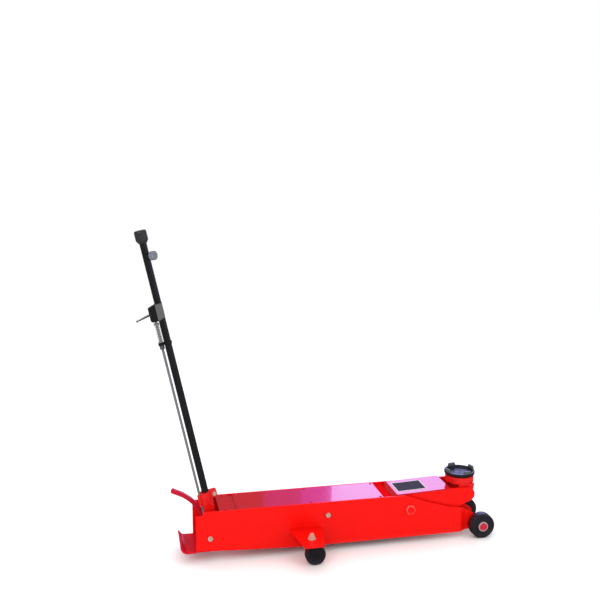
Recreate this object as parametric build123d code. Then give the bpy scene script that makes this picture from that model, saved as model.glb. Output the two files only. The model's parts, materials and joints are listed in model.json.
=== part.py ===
from build123d import *
from math import acos, atan2, cos, degrees, hypot, radians, sin, tan
import os

# A long-chassis hydraulic service jack.  Millimetres, +X towards the saddle, +Y to the left,
# +Z up.  The pieces are drawn with X measured from the front axle; at the end everything is
# shifted along X, so that the origin is on the floor under the middle of the whole jack.

# ---- fits ----
running = 0.08        # radial clearance of a shaft that turns or slides in its hole
gap = 0.6             # free gap between two pieces that move past each other
wide_gap = 3.0        # generous gap beside rolling and swinging pieces

# ---- chassis ----
chassis_width = 212.0
plate_thickness = 8.0
chassis_rear = -1436.0
chassis_top = 250.0
chassis_bottom = 35.5
bottom_kink_x = -925.0
rear_bottom_z = 60.0
rear_notch_z = 232.0
notch_from_rear = 28.0
rear_notch_run = 15.0
slope_start_x = -405.0
slope_mid = (-293.0, 208.0)
slope_low = (-172.0, 172.0)
nose_shoulder = (-111.0, 161.0)
nose_top = (-54.0, 131.0)
nose_wall = 15.0
nose_step = 24.0
nose_bend_x = -110.0
nose_bend_run = 32.0

# ---- front wheels ----
wheel_radius = 63.0
wheel_width = 46.0
axle_radius = 12.5
axle_cap_radius = 25.0
axle_cap_length = 6.0
tread_round = 5.0
wheel_recess_radius = 36.0
wheel_recess_depth = 5.0

# ---- casters ----
caster_x = -906.0
caster_out = 116.0
caster_trail = 16.0
caster_radius = 48.7
caster_width = 36.0
caster_axle_radius = 8.0
bracket_top = 126.0
bracket_thickness = 10.0
bracket_inner = (-989.0, -827.0)
bracket_outer = (-954.0, -864.0)
bracket_out = 194.0
bracket_rib_drop = 40.0
fork_plate = 6.0
fork_leg = 5.0
fork_top_radius = 32.0
fork_eye_radius = 17.0
fork_root_radius = 24.0
fork_root_shift = 6.0
fork_axle_proud = 3.0
stud_radius = 9.0
kingpin_head_radius = 15.0
kingpin_head_height = 13.0
kingpin_end = 10.0
kingpin_flange = 4.0
kingpin_washer = 2.0
kingpin_collar = 4.0
bearing_height = 5.0
bearing_radius = 24.0

# ---- covers and cross members ----
cover_thickness = 3.0
cover_front = -517.0
seam_from_rear = 184.0
seam_width = 20.0
pump_cover_from_rear = 111.0
seam_drop = 5.0
strip_z = 238.0
strip_thickness = 6.0
strip_front = -466.0
strip_rear = -540.0
cover_screw_radius = 3.0
cover_screw_head = 6.5
cover_screw_height = 3.0
cover_screw_inset = 12.0
cover_flange = 18.0
tie_bolt_radius = 8.0
tie_tube_radius = 14.0
tie_x, tie_z = -799.0, 186.0
bolt_head_radius = 12.5
bolt_head_height = 8.0

# ---- rear step ----
step_thickness = 8.0
step_length = 66.0
step_curl = 26.0
step_curl_angle = 80.0

# ---- handle ----
pivot_from_rear = 66.0
pivot_z = 120.0
handle_lean = 12.3
handle_swing = 55.0
pivot_radius = 10.0
tube_radius = 16.5
tube_wall = 3.0
tube_to_spring = 1.5
socket_wall = 10.5
hub_low, hub_high = 96.0, 190.0
tube_seat = 110.0
tube_top = 1412.0
ear_inner, ear_outer = 20.0, 32.0
ear_radius = 24.0
clamp_lug_s = 176.0
clamp_lug_size = 13.0
clamp_bolt_radius = 5.0
clamp_head_radius = 10.0
clamp_head_height = 7.0
roller_arm = 42.0
roller_radius = 13.0
roller_pin_radius = 7.0
knob_radius = 28.5
knob_length = 60.0
knob_taper = 15.0
release_rod_radius = 6.0
screw_knob_s = 1351.0
screw_knob_radius = 21.0
screw_knob_length = 22.0
screw_knob_turn = 40.0
screw_boss_radius = 11.0
screw_boss_length = 12.0
screw_stem_radius = 5.0

# ---- handle lock ----
rod_radius = 6.0
quadrant_radius = 60.0
quadrant_thickness = 8.0
quadrant_hub_radius = 20.0
notch_depth = 12.0
notch_play = 1.0
bracket_low, bracket_high = 1052.0, 1131.0
bracket_half = 20.0
bracket_back = -21.0
cheek_gap_half = 9.0
lever_pivot_x, lever_pivot_s = -15.0, 1088.0
lever_arm = 15.0
lever_hub_radius = 6.5
lever_swing = 32.0
lever_nose_radius = 5.0
lever_pin_radius = 4.0
lever_reach = 70.0
lever_droop = 14.0
lever_thickness = 8.0
spring_low, spring_high = 948.0, 1036.0
spring_radius = 12.0
collar_height = 6.0
guide_ring_radius = 14.0
guide_ring_height = 12.0
rod_nut_radius = 11.0
rod_nut_height = 18.0

# ---- pump ----
pump_from_rear = 126.0
pump_length = 95.0
pump_low, pump_high = 62.0, 162.0
pump_side_room = 24.0
pump_chamfer = 14.0
pump_foot_height = 22.0
plunger_radius = 9.0
plunger_head_radius = 17.0
plunger_head = 7.0
plunger_gap = 0.9
plunger_depth = 24.0
plunger_z = 80.0
foot_y = 55.0
foot_width = 26.0
foot_arm = 40.0
foot_pad_radius = 8.0
foot_leg_radius = 4.5
foot_swing = 22.0
foot_bar_thickness = 24.0
foot_hub_radius = 21.0
spring_shell = 4.0

# ---- cylinder and ram ----
ram_z = 98.0
bore_radius = 28.0
cylinder_radius = 35.0
tank_inner = 43.0
tank_outer = 47.0
tank_front = -905.0
gland_length = 25.0
gland_neck_radius = 30.0
support_thickness = 12.0
support_low, support_high = 46.0, 156.0
ram_radius = 16.0
piston_from_pump = 23.0
piston_length = 14.0
yoke_rear = -700.0
yoke_block = 40.0
yoke_half_width = 44.0
yoke_height = 56.0
bar_inner, bar_outer = 30.0, 42.0
bar_height = 30.0
slot_play = 1.1

# ---- filler plug ----
plug_neck_radius = 7.0
plug_head_radius = 12.0
plug_neck_proud = 6.0
plug_head_height = 9.0

# ---- lift arm ----
arm_x, arm_z = -380.0, 177.0
arm_shaft_radius = 18.0
arm_side_room = 8.0
cheek_thickness = 12.0
arm_swing = 55.0
crank_arm = 84.0
crank_pin_radius = 15.0
crank_ear_radius = 26.0
boss_wall = 14.0
boss_length = 20.0
arm_plate_rear, arm_plate_front = -443.0, -165.0
arm_plate_z = 247.0
arm_plate_rise = 2.2
arm_plate_thickness = 6.0
arm_plate_overhang = 2.0
apron_outer = 101.0
apron_thickness = 5.0
apron_angle = 29.0
cheek_belly = (-132.0, 160.0)
cheek_mid = (-250.0, 132.0)
tip_radius = 36.0
shaft_nut_wall = 6.0
shaft_nut_height = 12.0
label_rear, label_front = -428.0, -277.0
label_half = 58.0
label_thickness = 0.8

# ---- cradle, saddle and levelling link ----
cradle_x, cradle_z = -68.0, 222.0
cradle_pin_radius = 13.0
saddle_x = -79.0
cup_radius = 72.0
cup_low, cup_high = 262.0, 300.0
neck_room = 4.0
neck_radius = 31.0
spigot_radius = 20.0
spigot_length = 28.0
saddle_radius = 77.0
saddle_foot_radius = 60.0
saddle_rim_z = 321.0
saddle_floor_z = 311.0
saddle_wall = 10.0
lug_count = 4
lug_width = 36.0
lug_turn = 12.0
lug_height = 14.0
link_clear = 22.0
link_eye_radius = 15.0
link_pin_radius = 8.0
link_half = 6.0
link_height = 20.0
anchor_outer = 17.0
anchor_hub_wall = 6.0

# ---- worked out from the sizes above ----
half_width = chassis_width / 2
inner_half = half_width - plate_thickness
rear_notch_x = chassis_rear + notch_from_rear
pivot_x = chassis_rear + pivot_from_rear
pump_cover_rear = chassis_rear + pump_cover_from_rear
pump_rear = chassis_rear + pump_from_rear
pump_front = pump_rear + pump_length
seam_x = chassis_rear + seam_from_rear
piston_rear = pump_front + piston_from_pump
nose_half_width = half_width - nose_step
caster_y = half_width + caster_out
bracket_reach = half_width + bracket_out
pump_half_width = inner_half - pump_side_room
arm_half_width = inner_half - arm_side_room
arm_plate_half = arm_half_width + arm_plate_overhang
cheek_inner = arm_half_width - cheek_thickness
boss_inner = cheek_inner - boss_length
boss_radius = arm_shaft_radius + boss_wall
shaft_nut_radius = arm_shaft_radius + shaft_nut_wall
anchor_hub_radius = arm_shaft_radius + anchor_hub_wall
cradle_neck = cheek_inner - neck_room
tube_offset = tube_radius + spring_radius + tube_to_spring
hub_radius = tube_radius + socket_wall
clamp_lug_x = tube_offset + hub_radius + clamp_lug_size
clamp_lug_half = hub_radius / 1.3
arm_mid = arm_swing / 2
crank_x = arm_x - crank_arm * sin(radians(arm_mid))
crank_z = arm_z - crank_arm * cos(radians(arm_mid))
crank_low = arm_z - crank_arm
handle_mid = handle_swing / 2
plunger_ratio = 2 * roller_arm * sin(radians(handle_mid)) / radians(handle_swing)
plunger_stroke = plunger_ratio * radians(handle_swing)
roller_x = pivot_x - roller_arm * sin(radians(handle_mid))
roller_z = pivot_z - roller_arm * cos(radians(handle_mid))
foot_mid = foot_swing / 2
pad_x = pivot_x - foot_arm * sin(radians(foot_mid))
pad_z = pivot_z - foot_arm * cos(radians(foot_mid))
lever_mid = lever_swing / 2
rod_top = lever_pivot_s + lever_arm * sin(radians(lever_mid)) - lever_nose_radius - gap
rod_tip = quadrant_radius + gap
link_angle = (degrees(atan2(cradle_z - arm_z, cradle_x - arm_x)) + arm_mid) - 90.0
link_offset = arm_shaft_radius + link_clear
link_dx = link_offset * cos(radians(link_angle))
link_dz = link_offset * sin(radians(link_angle))
anchor_x, anchor_z = arm_x + link_dx, arm_z + link_dz
lug_x, lug_z = cradle_x + link_dx, cradle_z + link_dz
wheel_inner = nose_half_width + wide_gap
wheel_outer = wheel_inner + wheel_width
screw_axis = Vector(cos(radians(screw_knob_turn)), -sin(radians(screw_knob_turn)), 0)
handle_frame = Pos(pivot_x, 0, pivot_z) * Rot(0, -handle_lean, 0)
caster_axle_x = caster_x + caster_trail


# ---- small shape helpers ----
def block(x0, x1, y0, y1, z0, z1):
    """A plain box between two corners."""
    return Pos((x0 + x1) / 2, (y0 + y1) / 2, (z0 + z1) / 2) * Box(x1 - x0, y1 - y0, z1 - z0)


def bar_y(x, z, radius, y0, y1):
    """A round bar along Y."""
    return Pos(x, (y0 + y1) / 2, z) * Rot(90, 0, 0) * Cylinder(radius, y1 - y0)


def bar_x(y, z, radius, x0, x1):
    """A round bar along X."""
    return Pos((x0 + x1) / 2, y, z) * Rot(0, 90, 0) * Cylinder(radius, x1 - x0)


def bar_z(x, y, radius, z0, z1):
    """A round bar along Z."""
    return Pos(x, y, (z0 + z1) / 2) * Cylinder(radius, z1 - z0)


def raise_up(sketch, height):
    """An outline drawn in X and Y, raised along Z."""
    return extrude(sketch, amount=height, dir=(0, 0, 1))


def side_shape(sketch, y0, y1):
    """An outline drawn in X and Z, given its thickness from y0 to y1."""
    return Pos(0, y1, 0) * Rot(90, 0, 0) * raise_up(sketch, y1 - y0)


def outline(points):
    """A closed outline through the points, taken anticlockwise."""
    following = points[1:] + points[:1]
    area = sum(a[0] * b[1] - b[0] * a[1] for a, b in zip(points, following))
    return Polygon(*(points if area > 0 else points[::-1]), align=None)


def strap(x0, z0, r0, x1, z1, r1):
    """The outline of a belt round two circles."""
    reach = hypot(x1 - x0, z1 - z0)
    turn = atan2(z1 - z0, x1 - x0)
    spread = acos((r0 - r1) / reach)
    corners = []
    for x, z, r, side in ((x0, z0, r0, 1), (x1, z1, r1, 1), (x1, z1, r1, -1), (x0, z0, r0, -1)):
        angle = turn + side * spread
        corners.append((x + r * cos(angle), z + r * sin(angle)))
    return outline(corners) + Pos(x0, z0) * Circle(r0) + Pos(x1, z1) * Circle(r1)


def touch_point(point, centre, radius, side):
    """Where a line from the point touches a circle; side is +1 or -1."""
    dx, dz = point[0] - centre[0], point[1] - centre[1]
    angle = atan2(dz, dx) + side * acos(radius / hypot(dx, dz))
    return centre[0] + radius * cos(angle), centre[1] + radius * sin(angle)


def hexagon_y(x, z, radius, y0, y1):
    """A hexagonal head or nut along Y."""
    return side_shape(Pos(x, z) * RegularPolygon(radius, 6), y0, y1)


def both_sides(piece):
    """The piece and its mirror image across the middle of the jack."""
    return piece, mirror(piece, about=Plane.XZ)


# ---- chassis ----
def chassis_bottom_at(x):
    """Height of the side plates' lower edge, which rises behind the kink."""
    if x >= bottom_kink_x:
        return chassis_bottom
    share = (bottom_kink_x - x) / (bottom_kink_x - chassis_rear)
    return chassis_bottom + share * (rear_bottom_z - chassis_bottom)


def side_plate():
    """The left side plate: cut profile, with the nose stepped inwards behind the wheel."""
    nose_radius = axle_radius + nose_wall
    low = wheel_radius - nose_radius
    top_touch = touch_point(nose_top, (0, wheel_radius), nose_radius, -1)
    profile = outline([
        (chassis_rear, rear_bottom_z),
        (chassis_rear, rear_notch_z),
        (rear_notch_x, rear_notch_z),
        (rear_notch_x + rear_notch_run, chassis_top),
        (slope_start_x, chassis_top),
        slope_mid,
        slope_low,
        nose_shoulder,
        nose_top,
        top_touch,
        (0, wheel_radius),
        (0, low),
        (bottom_kink_x, chassis_bottom),
    ])
    profile += Pos(0, wheel_radius) * Circle(nose_radius)
    step = half_width - nose_half_width
    shift = plate_thickness * tan(atan2(step, nose_bend_run) / 2)
    bend_end = nose_bend_x + nose_bend_run
    front = nose_radius + wide_gap
    plan = outline([
        (chassis_rear, inner_half),
        (chassis_rear, half_width),
        (nose_bend_x, half_width),
        (bend_end, nose_half_width),
        (front, nose_half_width),
        (front, nose_half_width - plate_thickness),
        (bend_end - shift, nose_half_width - plate_thickness),
        (nose_bend_x - shift, inner_half),
    ])
    plate = side_shape(profile, 0, half_width) & raise_up(plan, chassis_top)
    for x, z, r in (
        (0, wheel_radius, axle_radius),
        (arm_x, arm_z, arm_shaft_radius),
        (tie_x, tie_z, tie_bolt_radius),
        (pivot_x, pivot_z, pivot_radius),
    ):
        plate -= bar_y(x, z, r, 0, chassis_width)
    return plate


def rear_step():
    """The bent plate behind the chassis: a flat tread whose rear edge curls up."""
    top = rear_bottom_z
    low = top - step_thickness
    end = chassis_rear - step_length + step_curl
    centre_z = top + step_curl
    flat = block(end, chassis_rear, -half_width, half_width, low, top)
    flat += block(chassis_rear, chassis_rear + step_length, -inner_half, inner_half, low, top)
    ring = Circle(step_curl + step_thickness) - Circle(step_curl)
    spread = radians(step_curl_angle)
    far = 3 * (step_curl + step_thickness)
    wedge = outline([(0, 0), (0, -far), (-far * sin(spread), -far * cos(spread))])
    curl = side_shape(Pos(end, centre_z) * (ring & wedge), -half_width, half_width)
    return flat + curl


def cross_tube(x, z, bore):
    """A spacer tube between the side plates, round a through bolt."""
    tube = bar_y(x, z, tie_tube_radius, -inner_half, inner_half)
    return tube - bar_y(x, z, bore, -inner_half, inner_half)


def through_bolt(x, z, radius):
    """A bolt right across the chassis with a hexagonal head at each side."""
    bolt = bar_y(x, z, radius, -half_width, half_width)
    for side in (-1, 1):
        ends = sorted((side * half_width, side * (half_width + bolt_head_height)))
        bolt += hexagon_y(x, z, bolt_head_radius, *ends)
    return bolt


def cylinder_support():
    """The cross plate that carries the front of the power unit."""
    rear = tank_front + gland_length
    plate = block(rear, rear + support_thickness, -inner_half, inner_half, support_low, support_high)
    return plate - bar_x(0, ram_z, gland_neck_radius, rear, rear + support_thickness)


def front_cross_strip():
    """The sunk cross plate between the long cover and the tail of the arm."""
    low = strip_z - strip_thickness
    lap = inner_half - cover_thickness
    strip = block(cover_front, strip_front, -inner_half, inner_half, low, strip_z)
    return strip + block(strip_rear, cover_front, -lap, lap, low, strip_z)


def screw_places():
    """Where the cover screws sit: pairs along the long cover and one pair on the pump cover."""
    low = seam_x + seam_width / 2
    first, last = low + cover_screw_inset, cover_front - cover_screw_inset
    screw_y = inner_half - cover_screw_inset
    rows = [first, (first + last) / 2, last, (pump_cover_rear + low - seam_width) / 2]
    return [(x, y) for x in rows for y in (-screw_y, screw_y)]


def cover_panel(rear, front):
    """A flat cover sheet between the side plates with folded side flanges and screw holes."""
    z1 = chassis_top
    z0 = z1 - cover_thickness
    sheet = block(rear, front, -inner_half, inner_half, z0, z1)
    for side in (-1, 1):
        ends = sorted((side * inner_half, side * (inner_half - cover_thickness)))
        sheet += block(rear, front, *ends, z0 - cover_flange, z0)
    for x, y in screw_places():
        if rear < x < front:
            sheet -= bar_z(x, y, cover_screw_radius, z0, z1)
    return sheet


def top_cover():
    return cover_panel(seam_x + seam_width / 2, cover_front)


def pump_cover():
    """The short rear cover, with a lower shelf that runs under the seam to the long cover."""
    joint = seam_x - seam_width / 2
    panel = cover_panel(pump_cover_rear, joint)
    z1 = chassis_top - seam_drop
    inside = inner_half - cover_thickness
    shelf = block(joint - seam_width, seam_x + seam_width / 2, -inside, inside, z1 - cover_thickness, z1)
    rise = block(joint - cover_thickness, joint, -inside, inside, z1, chassis_top - cover_thickness)
    return panel + shelf + rise


def cover_screws():
    """The cover screws, each a button head on a short shank."""
    screws = []
    for x, y in screw_places():
        head = Pos(x, y, chassis_top) * Cylinder(cover_screw_head, cover_screw_height, align=(
            Align.CENTER, Align.CENTER, Align.MIN))
        head = chamfer(head.edges().sort_by(Axis.Z)[-1], cover_screw_height / 2)
        shank = bar_z(x, y, cover_screw_radius, chassis_top - cover_thickness, chassis_top)
        screws.append(head + shank)
    return screws


# ---- front wheels ----
def front_axle():
    reach = wheel_outer + gap + axle_cap_length / 2
    return bar_y(0, wheel_radius, axle_radius, -reach, reach)


def axle_caps():
    """The flanged caps pressed on both ends of the axle, which keep the wheels on."""
    y0 = wheel_outer + gap
    cap = bar_y(0, wheel_radius, axle_cap_radius, y0, y0 + axle_cap_length)
    cap = chamfer(cap.edges().sort_by(Axis.Y)[-1], axle_cap_length / 3)
    cap -= bar_y(0, wheel_radius, axle_radius, y0, y0 + axle_cap_length / 2)
    return list(both_sides(cap))


def front_wheel():
    """The left front wheel: a solid roller, recessed round its bore on both faces."""
    wheel = bar_y(0, wheel_radius, wheel_radius, wheel_inner, wheel_outer)
    wheel = fillet(wheel.edges(), tread_round)
    hub = axle_radius + nose_wall
    ring = Circle(wheel_recess_radius + nose_wall) - Circle(hub + nose_wall / 2)
    groove = side_shape(Pos(0, wheel_radius) * ring, wheel_outer - wheel_recess_depth, wheel_outer)
    wheel -= groove
    return wheel - bar_y(0, wheel_radius, axle_radius + running, wheel_inner, wheel_outer)


# ---- casters ----
def caster_bracket():
    """The left outrigger: a horizontal plate welded to the side plate, with a rib below."""
    z0 = bracket_top - bracket_thickness
    plate = outline([
        (bracket_inner[0], half_width),
        (bracket_inner[1], half_width),
        (bracket_outer[1], bracket_reach),
        (bracket_outer[0], bracket_reach),
    ])
    shape = Pos(0, 0, z0) * raise_up(plate, bracket_thickness)
    outer = [e for e in shape.edges().filter_by(Axis.Z) if e.center().Y > bracket_reach - 1]
    shape = fillet(outer, bracket_thickness)
    rib_reach = caster_y - caster_radius - caster_trail - 2 * bracket_thickness
    rib_points = [(half_width, z0), (rib_reach, z0), (half_width, z0 - bracket_rib_drop)]
    rib = outline(rib_points)
    rib_x = bracket_inner[0] + 2 * bracket_thickness
    for x in (rib_x, bracket_inner[1] - 3 * bracket_thickness):
        shape += Pos(x, 0, 0) * (Plane.YZ * raise_up(rib, bracket_thickness))
    return shape - bar_z(caster_x, caster_y, stud_radius, z0, bracket_top)


def caster_fork():
    """The left swivel fork: top plate with its bearing ring, two legs and the wheel's axle."""
    z1 = bracket_top - bracket_thickness - bearing_height
    z0 = z1 - fork_plate
    half = caster_width / 2 + wide_gap
    width = half + fork_leg
    top = SlotCenterToCenter(caster_trail, 2 * fork_top_radius)
    fork = Pos(caster_x, caster_y, z0) * raise_up(top, fork_plate)
    far = 3 * fork_top_radius
    fork &= block(caster_x - far, caster_x + far, caster_y - width, caster_y + width, z0, z1)
    root_x = caster_x + fork_root_shift
    leg_shape = strap(caster_axle_x, caster_radius, fork_eye_radius, root_x, z0, fork_root_radius)
    leg_shape &= Pos(caster_x, z0 / 2) * Rectangle(2 * far, z0)
    for side in (-1, 1):
        ends = sorted((caster_y + side * half, caster_y + side * width))
        fork += side_shape(leg_shape, *ends)
    reach = width + fork_axle_proud
    fork += bar_y(caster_axle_x, caster_radius, caster_axle_radius, caster_y - reach, caster_y + reach)
    fork += bar_z(caster_x, caster_y, bearing_radius, z1, z1 + bearing_height - gap)
    return fork - bar_z(caster_x, caster_y, stud_radius + running, z0, z1 + bearing_height)


def kingpin_bolts():
    """The swivel bolts: nut, washer face and thread end on the bracket, shank, a collar below."""
    z0 = bracket_top
    fork_low = bracket_top - bracket_thickness - bearing_height - fork_plate
    pin = bar_z(caster_x, caster_y, kingpin_head_radius + kingpin_flange, z0, z0 + kingpin_washer)
    head = raise_up(RegularPolygon(kingpin_head_radius, 6), kingpin_head_height)
    pin += Pos(caster_x, caster_y, z0 + kingpin_washer) * head
    head_top = z0 + kingpin_washer + kingpin_head_height
    pin += bar_z(caster_x, caster_y, stud_radius, head_top, head_top + kingpin_end)
    pin += bar_z(caster_x, caster_y, stud_radius, fork_low - gap, z0)
    collar_top = fork_low - gap
    collar_radius = stud_radius + kingpin_flange
    pin += bar_z(caster_x, caster_y, collar_radius, collar_top - kingpin_collar, collar_top)
    return list(both_sides(pin))


def caster_wheel():
    y0, y1 = caster_y - caster_width / 2, caster_y + caster_width / 2
    wheel = bar_y(caster_axle_x, caster_radius, caster_radius, y0, y1)
    wheel = fillet(wheel.edges(), tread_round)
    return wheel - bar_y(caster_axle_x, caster_radius, caster_axle_radius + running, y0, y1)


# ---- pump and cylinder ----
def pump_body():
    """The pump block: wide feet between the side plates and two plunger bores in its rear face."""
    low = pump_low
    body = block(pump_rear, pump_front, -pump_half_width, pump_half_width, low, pump_high)
    body = chamfer(body.edges().filter_by(Axis.X).group_by(Axis.Z)[-1], pump_chamfer)
    body += block(pump_rear, pump_front, -inner_half, inner_half, low, low + pump_foot_height)
    depth = plunger_depth + plunger_stroke + wide_gap
    for y in (0, foot_y):
        body -= bar_x(y, plunger_z, plunger_radius + running, pump_rear, pump_rear + depth)
    return body


def filler_plug():
    """The oil filler plug on top of the tank, a hexagon over a short round neck."""
    x = (pump_front + tank_front) / 2
    head_z = ram_z + tank_outer + plug_neck_proud
    neck = bar_z(x, 0, plug_neck_radius, ram_z + tank_inner, head_z)
    return neck + Pos(x, 0, head_z) * raise_up(RegularPolygon(plug_head_radius, 6), plug_head_height)


def cylinder_tube():
    tube = bar_x(0, ram_z, cylinder_radius, pump_front, tank_front)
    return tube - bar_x(0, ram_z, bore_radius, pump_front, tank_front)


def reservoir_tank():
    tank = bar_x(0, ram_z, tank_outer, pump_front, tank_front)
    tank -= bar_x(0, ram_z, tank_inner, pump_front, tank_front)
    x = (pump_front + tank_front) / 2
    return tank - bar_z(x, 0, plug_neck_radius, ram_z, ram_z + 2 * tank_outer)


def gland_nut():
    """The head nut that closes cylinder and tank, with its neck seated in the support plate."""
    x1 = tank_front + gland_length
    nut = bar_x(0, ram_z, tank_outer, tank_front, x1)
    nut += bar_x(0, ram_z, gland_neck_radius, x1, x1 + support_thickness)
    return nut - bar_x(0, ram_z, ram_radius + running, tank_front, x1 + support_thickness)


def ram():
    """The chromed ram with its piston."""
    rod = bar_x(0, ram_z, ram_radius, piston_rear, yoke_rear + yoke_block / 2)
    piston = bar_x(0, ram_z, bore_radius - running, piston_rear, piston_rear + piston_length)
    return rod + piston


def ram_spring():
    """The coil that draws the ram back, drawn as the sleeve that its wire fills."""
    x0, x1 = piston_rear + piston_length, tank_front
    sleeve = bar_x(0, ram_z, bore_radius - gap, x0, x1)
    return sleeve - bar_x(0, ram_z, bore_radius - gap - spring_shell, x0, x1)


def ram_yoke():
    """The crosshead on the ram and its two bars, whose slotted eyes drive the crank pin."""
    z0, z1 = ram_z - yoke_height / 2, ram_z + yoke_height / 2
    yoke = block(yoke_rear, yoke_rear + yoke_block, -yoke_half_width, yoke_half_width, z0, z1)
    play = crank_pin_radius + slot_play
    mid_z = (crank_z + crank_low) / 2
    slot_half = (crank_z - crank_low) / 2 + play
    eye_x, eye_z = play + 14, slot_half + 12
    for side in (-1, 1):
        ends = sorted((side * bar_inner, side * bar_outer))
        bar = block(yoke_rear, crank_x, *ends, ram_z - bar_height / 2, ram_z + bar_height / 2)
        eye = side_shape(Pos(crank_x, mid_z) * RectangleRounded(2 * eye_x, 2 * eye_z, 14), *ends)
        slot = side_shape(Pos(crank_x, mid_z) * Rectangle(2 * play, 2 * slot_half), *ends)
        yoke += bar + eye - slot
    return yoke - bar_x(0, ram_z, ram_radius, yoke_rear, yoke_rear + yoke_block / 2)


def pump_plunger():
    """The hand pump's plunger: a round head that the handle's roller pushes."""
    x0 = roller_x + roller_radius + plunger_gap
    head = bar_x(0, plunger_z, plunger_head_radius, x0, x0 + plunger_head)
    return head + bar_x(0, plunger_z, plunger_radius, x0 + plunger_head, pump_rear + plunger_depth)


def plunger_spring():
    """The plunger's return coil, drawn as the sleeve that its wire fills."""
    x0 = roller_x + roller_radius + plunger_gap + plunger_head
    sleeve = bar_x(0, plunger_z, plunger_radius + gap + spring_shell, x0, pump_rear)
    return sleeve - bar_x(0, plunger_z, plunger_radius + gap, x0, pump_rear)


def foot_plunger():
    """The quick-lift plunger beside the main one, pushed by the pedal's toe."""
    x0 = pad_x + foot_pad_radius + gap
    head = bar_x(foot_y, plunger_z, plunger_head_radius - 4, x0, x0 + plunger_head)
    return head + bar_x(foot_y, plunger_z, plunger_radius, x0 + plunger_head, pump_rear + plunger_depth)


def foot_pedal():
    """The curved pedal bar on its hub, with the toe below that works the foot plunger."""
    y0, y1 = foot_y - foot_width / 2, foot_y + foot_width / 2
    path = Spline(
        (pivot_x - 8, pivot_z + foot_hub_radius / 2),
        (pivot_x - 36, pivot_z + 84),
        (pivot_x - 61, pivot_z + 118),
        (pivot_x - 100, pivot_z + 153),
        (pivot_x - 170, pivot_z + 190),
    )
    bar = trace(path, line_width=foot_bar_thickness)
    tip = Pos(pivot_x - 170, pivot_z + 190) * Circle(foot_bar_thickness / 2)
    leg = strap(pivot_x, pivot_z, foot_leg_radius, pad_x, pad_z, foot_leg_radius)
    pad = Pos(pad_x, pad_z) * Circle(foot_pad_radius)
    hub = Pos(pivot_x, pivot_z) * Circle(foot_hub_radius)
    pedal = side_shape(hub, y0, y1)
    for shape in (bar, tip, leg, pad):
        pedal += side_shape(shape, y0, y1)
    return pedal - bar_y(pivot_x, pivot_z, pivot_radius + running, y0, y1)


# ---- handle ----
def local_side(sketch, y0, y1):
    """An outline in the handle's own X and length, with its thickness from y0 to y1."""
    return handle_frame * side_shape(sketch, y0, y1)


def local_bar(x, y, radius, s0, s1):
    """A round bar along the handle."""
    return handle_frame * bar_z(x, y, radius, s0, s1)


def handle_socket():
    """The cast socket: hub for the tube, clamp lug, two ears on the pivot pin and roller arms."""
    arm_angle = radians(handle_mid + handle_lean)
    arm_x_local, arm_s_local = -roller_arm * sin(arm_angle), -roller_arm * cos(arm_angle)
    socket = bar_z(tube_offset, 0, hub_radius, hub_low, hub_high)
    socket += bar_z(0, 0, 2 * rod_radius, hub_low + 30, hub_high - 10)
    lug = block(tube_offset + hub_radius - 6, clamp_lug_x + clamp_lug_size, -clamp_lug_half, clamp_lug_half,
                clamp_lug_s - clamp_lug_size - 4, clamp_lug_s + clamp_lug_size)
    lug = fillet(lug.edges().filter_by(Axis.Y).sort_by(Axis.X)[-2:], clamp_lug_size - 3)
    socket += lug
    ears = strap(0, 0, ear_radius, tube_offset, hub_low + 14, hub_radius)
    ears += strap(0, 0, ear_radius, arm_x_local, arm_s_local, roller_pin_radius + 6)
    for side in (-1, 1):
        ends = sorted((side * ear_inner, side * ear_outer))
        socket += side_shape(ears, *ends)
        web = outline([(tube_offset - 18, hub_low + 34), (tube_offset + 20, hub_low + 34),
                       (tube_offset + 20, hub_low), (tube_offset - 18, hub_low)])
        ends = sorted((side * (ear_inner - 8), side * ear_outer))
        socket += side_shape(web, *ends)
    socket -= bar_z(tube_offset, 0, tube_radius, tube_seat, hub_high)
    socket -= bar_z(tube_offset, 0, release_rod_radius + gap, hub_low - 5, tube_seat)
    socket -= bar_z(0, 0, rod_radius + running, 0, hub_high + 20)
    socket -= bar_y(0, 0, pivot_radius + running, -ear_outer, ear_outer)
    socket -= bar_y(arm_x_local, arm_s_local, roller_pin_radius + running, -ear_outer, ear_outer)
    slit = block(tube_offset, clamp_lug_x + clamp_lug_size, -1.5, 1.5, tube_seat + 30, hub_high)
    reach = clamp_lug_half
    hole = bar_y(clamp_lug_x, clamp_lug_s, clamp_bolt_radius, -reach, reach)
    return handle_frame * (socket - slit - hole)


def socket_bolt():
    """The bolt that closes the split socket on the tube."""
    reach = clamp_lug_half
    bolt = bar_y(clamp_lug_x, clamp_lug_s, clamp_bolt_radius, -reach, reach)
    for side in (-1, 1):
        ends = sorted((side * reach, side * (reach + clamp_head_height)))
        bolt += hexagon_y(clamp_lug_x, clamp_lug_s, clamp_head_radius, *ends)
    return handle_frame * bolt


def handle_tube():
    """The long tube, with the threaded boss for the screw knob."""
    tube = bar_z(tube_offset, 0, tube_radius, tube_seat, tube_top)
    reach = tube_radius + screw_boss_length
    boss_plane = Plane(origin=(tube_offset, 0, screw_knob_s), z_dir=screw_axis)
    tube += boss_plane * Pos(0, 0, reach / 2) * Cylinder(screw_boss_radius, reach)
    tube -= bar_z(tube_offset, 0, tube_radius - tube_wall, tube_seat, tube_top)
    tube -= boss_plane * Pos(0, 0, reach / 2) * Cylinder(screw_stem_radius + running, reach)
    return handle_frame * tube


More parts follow.
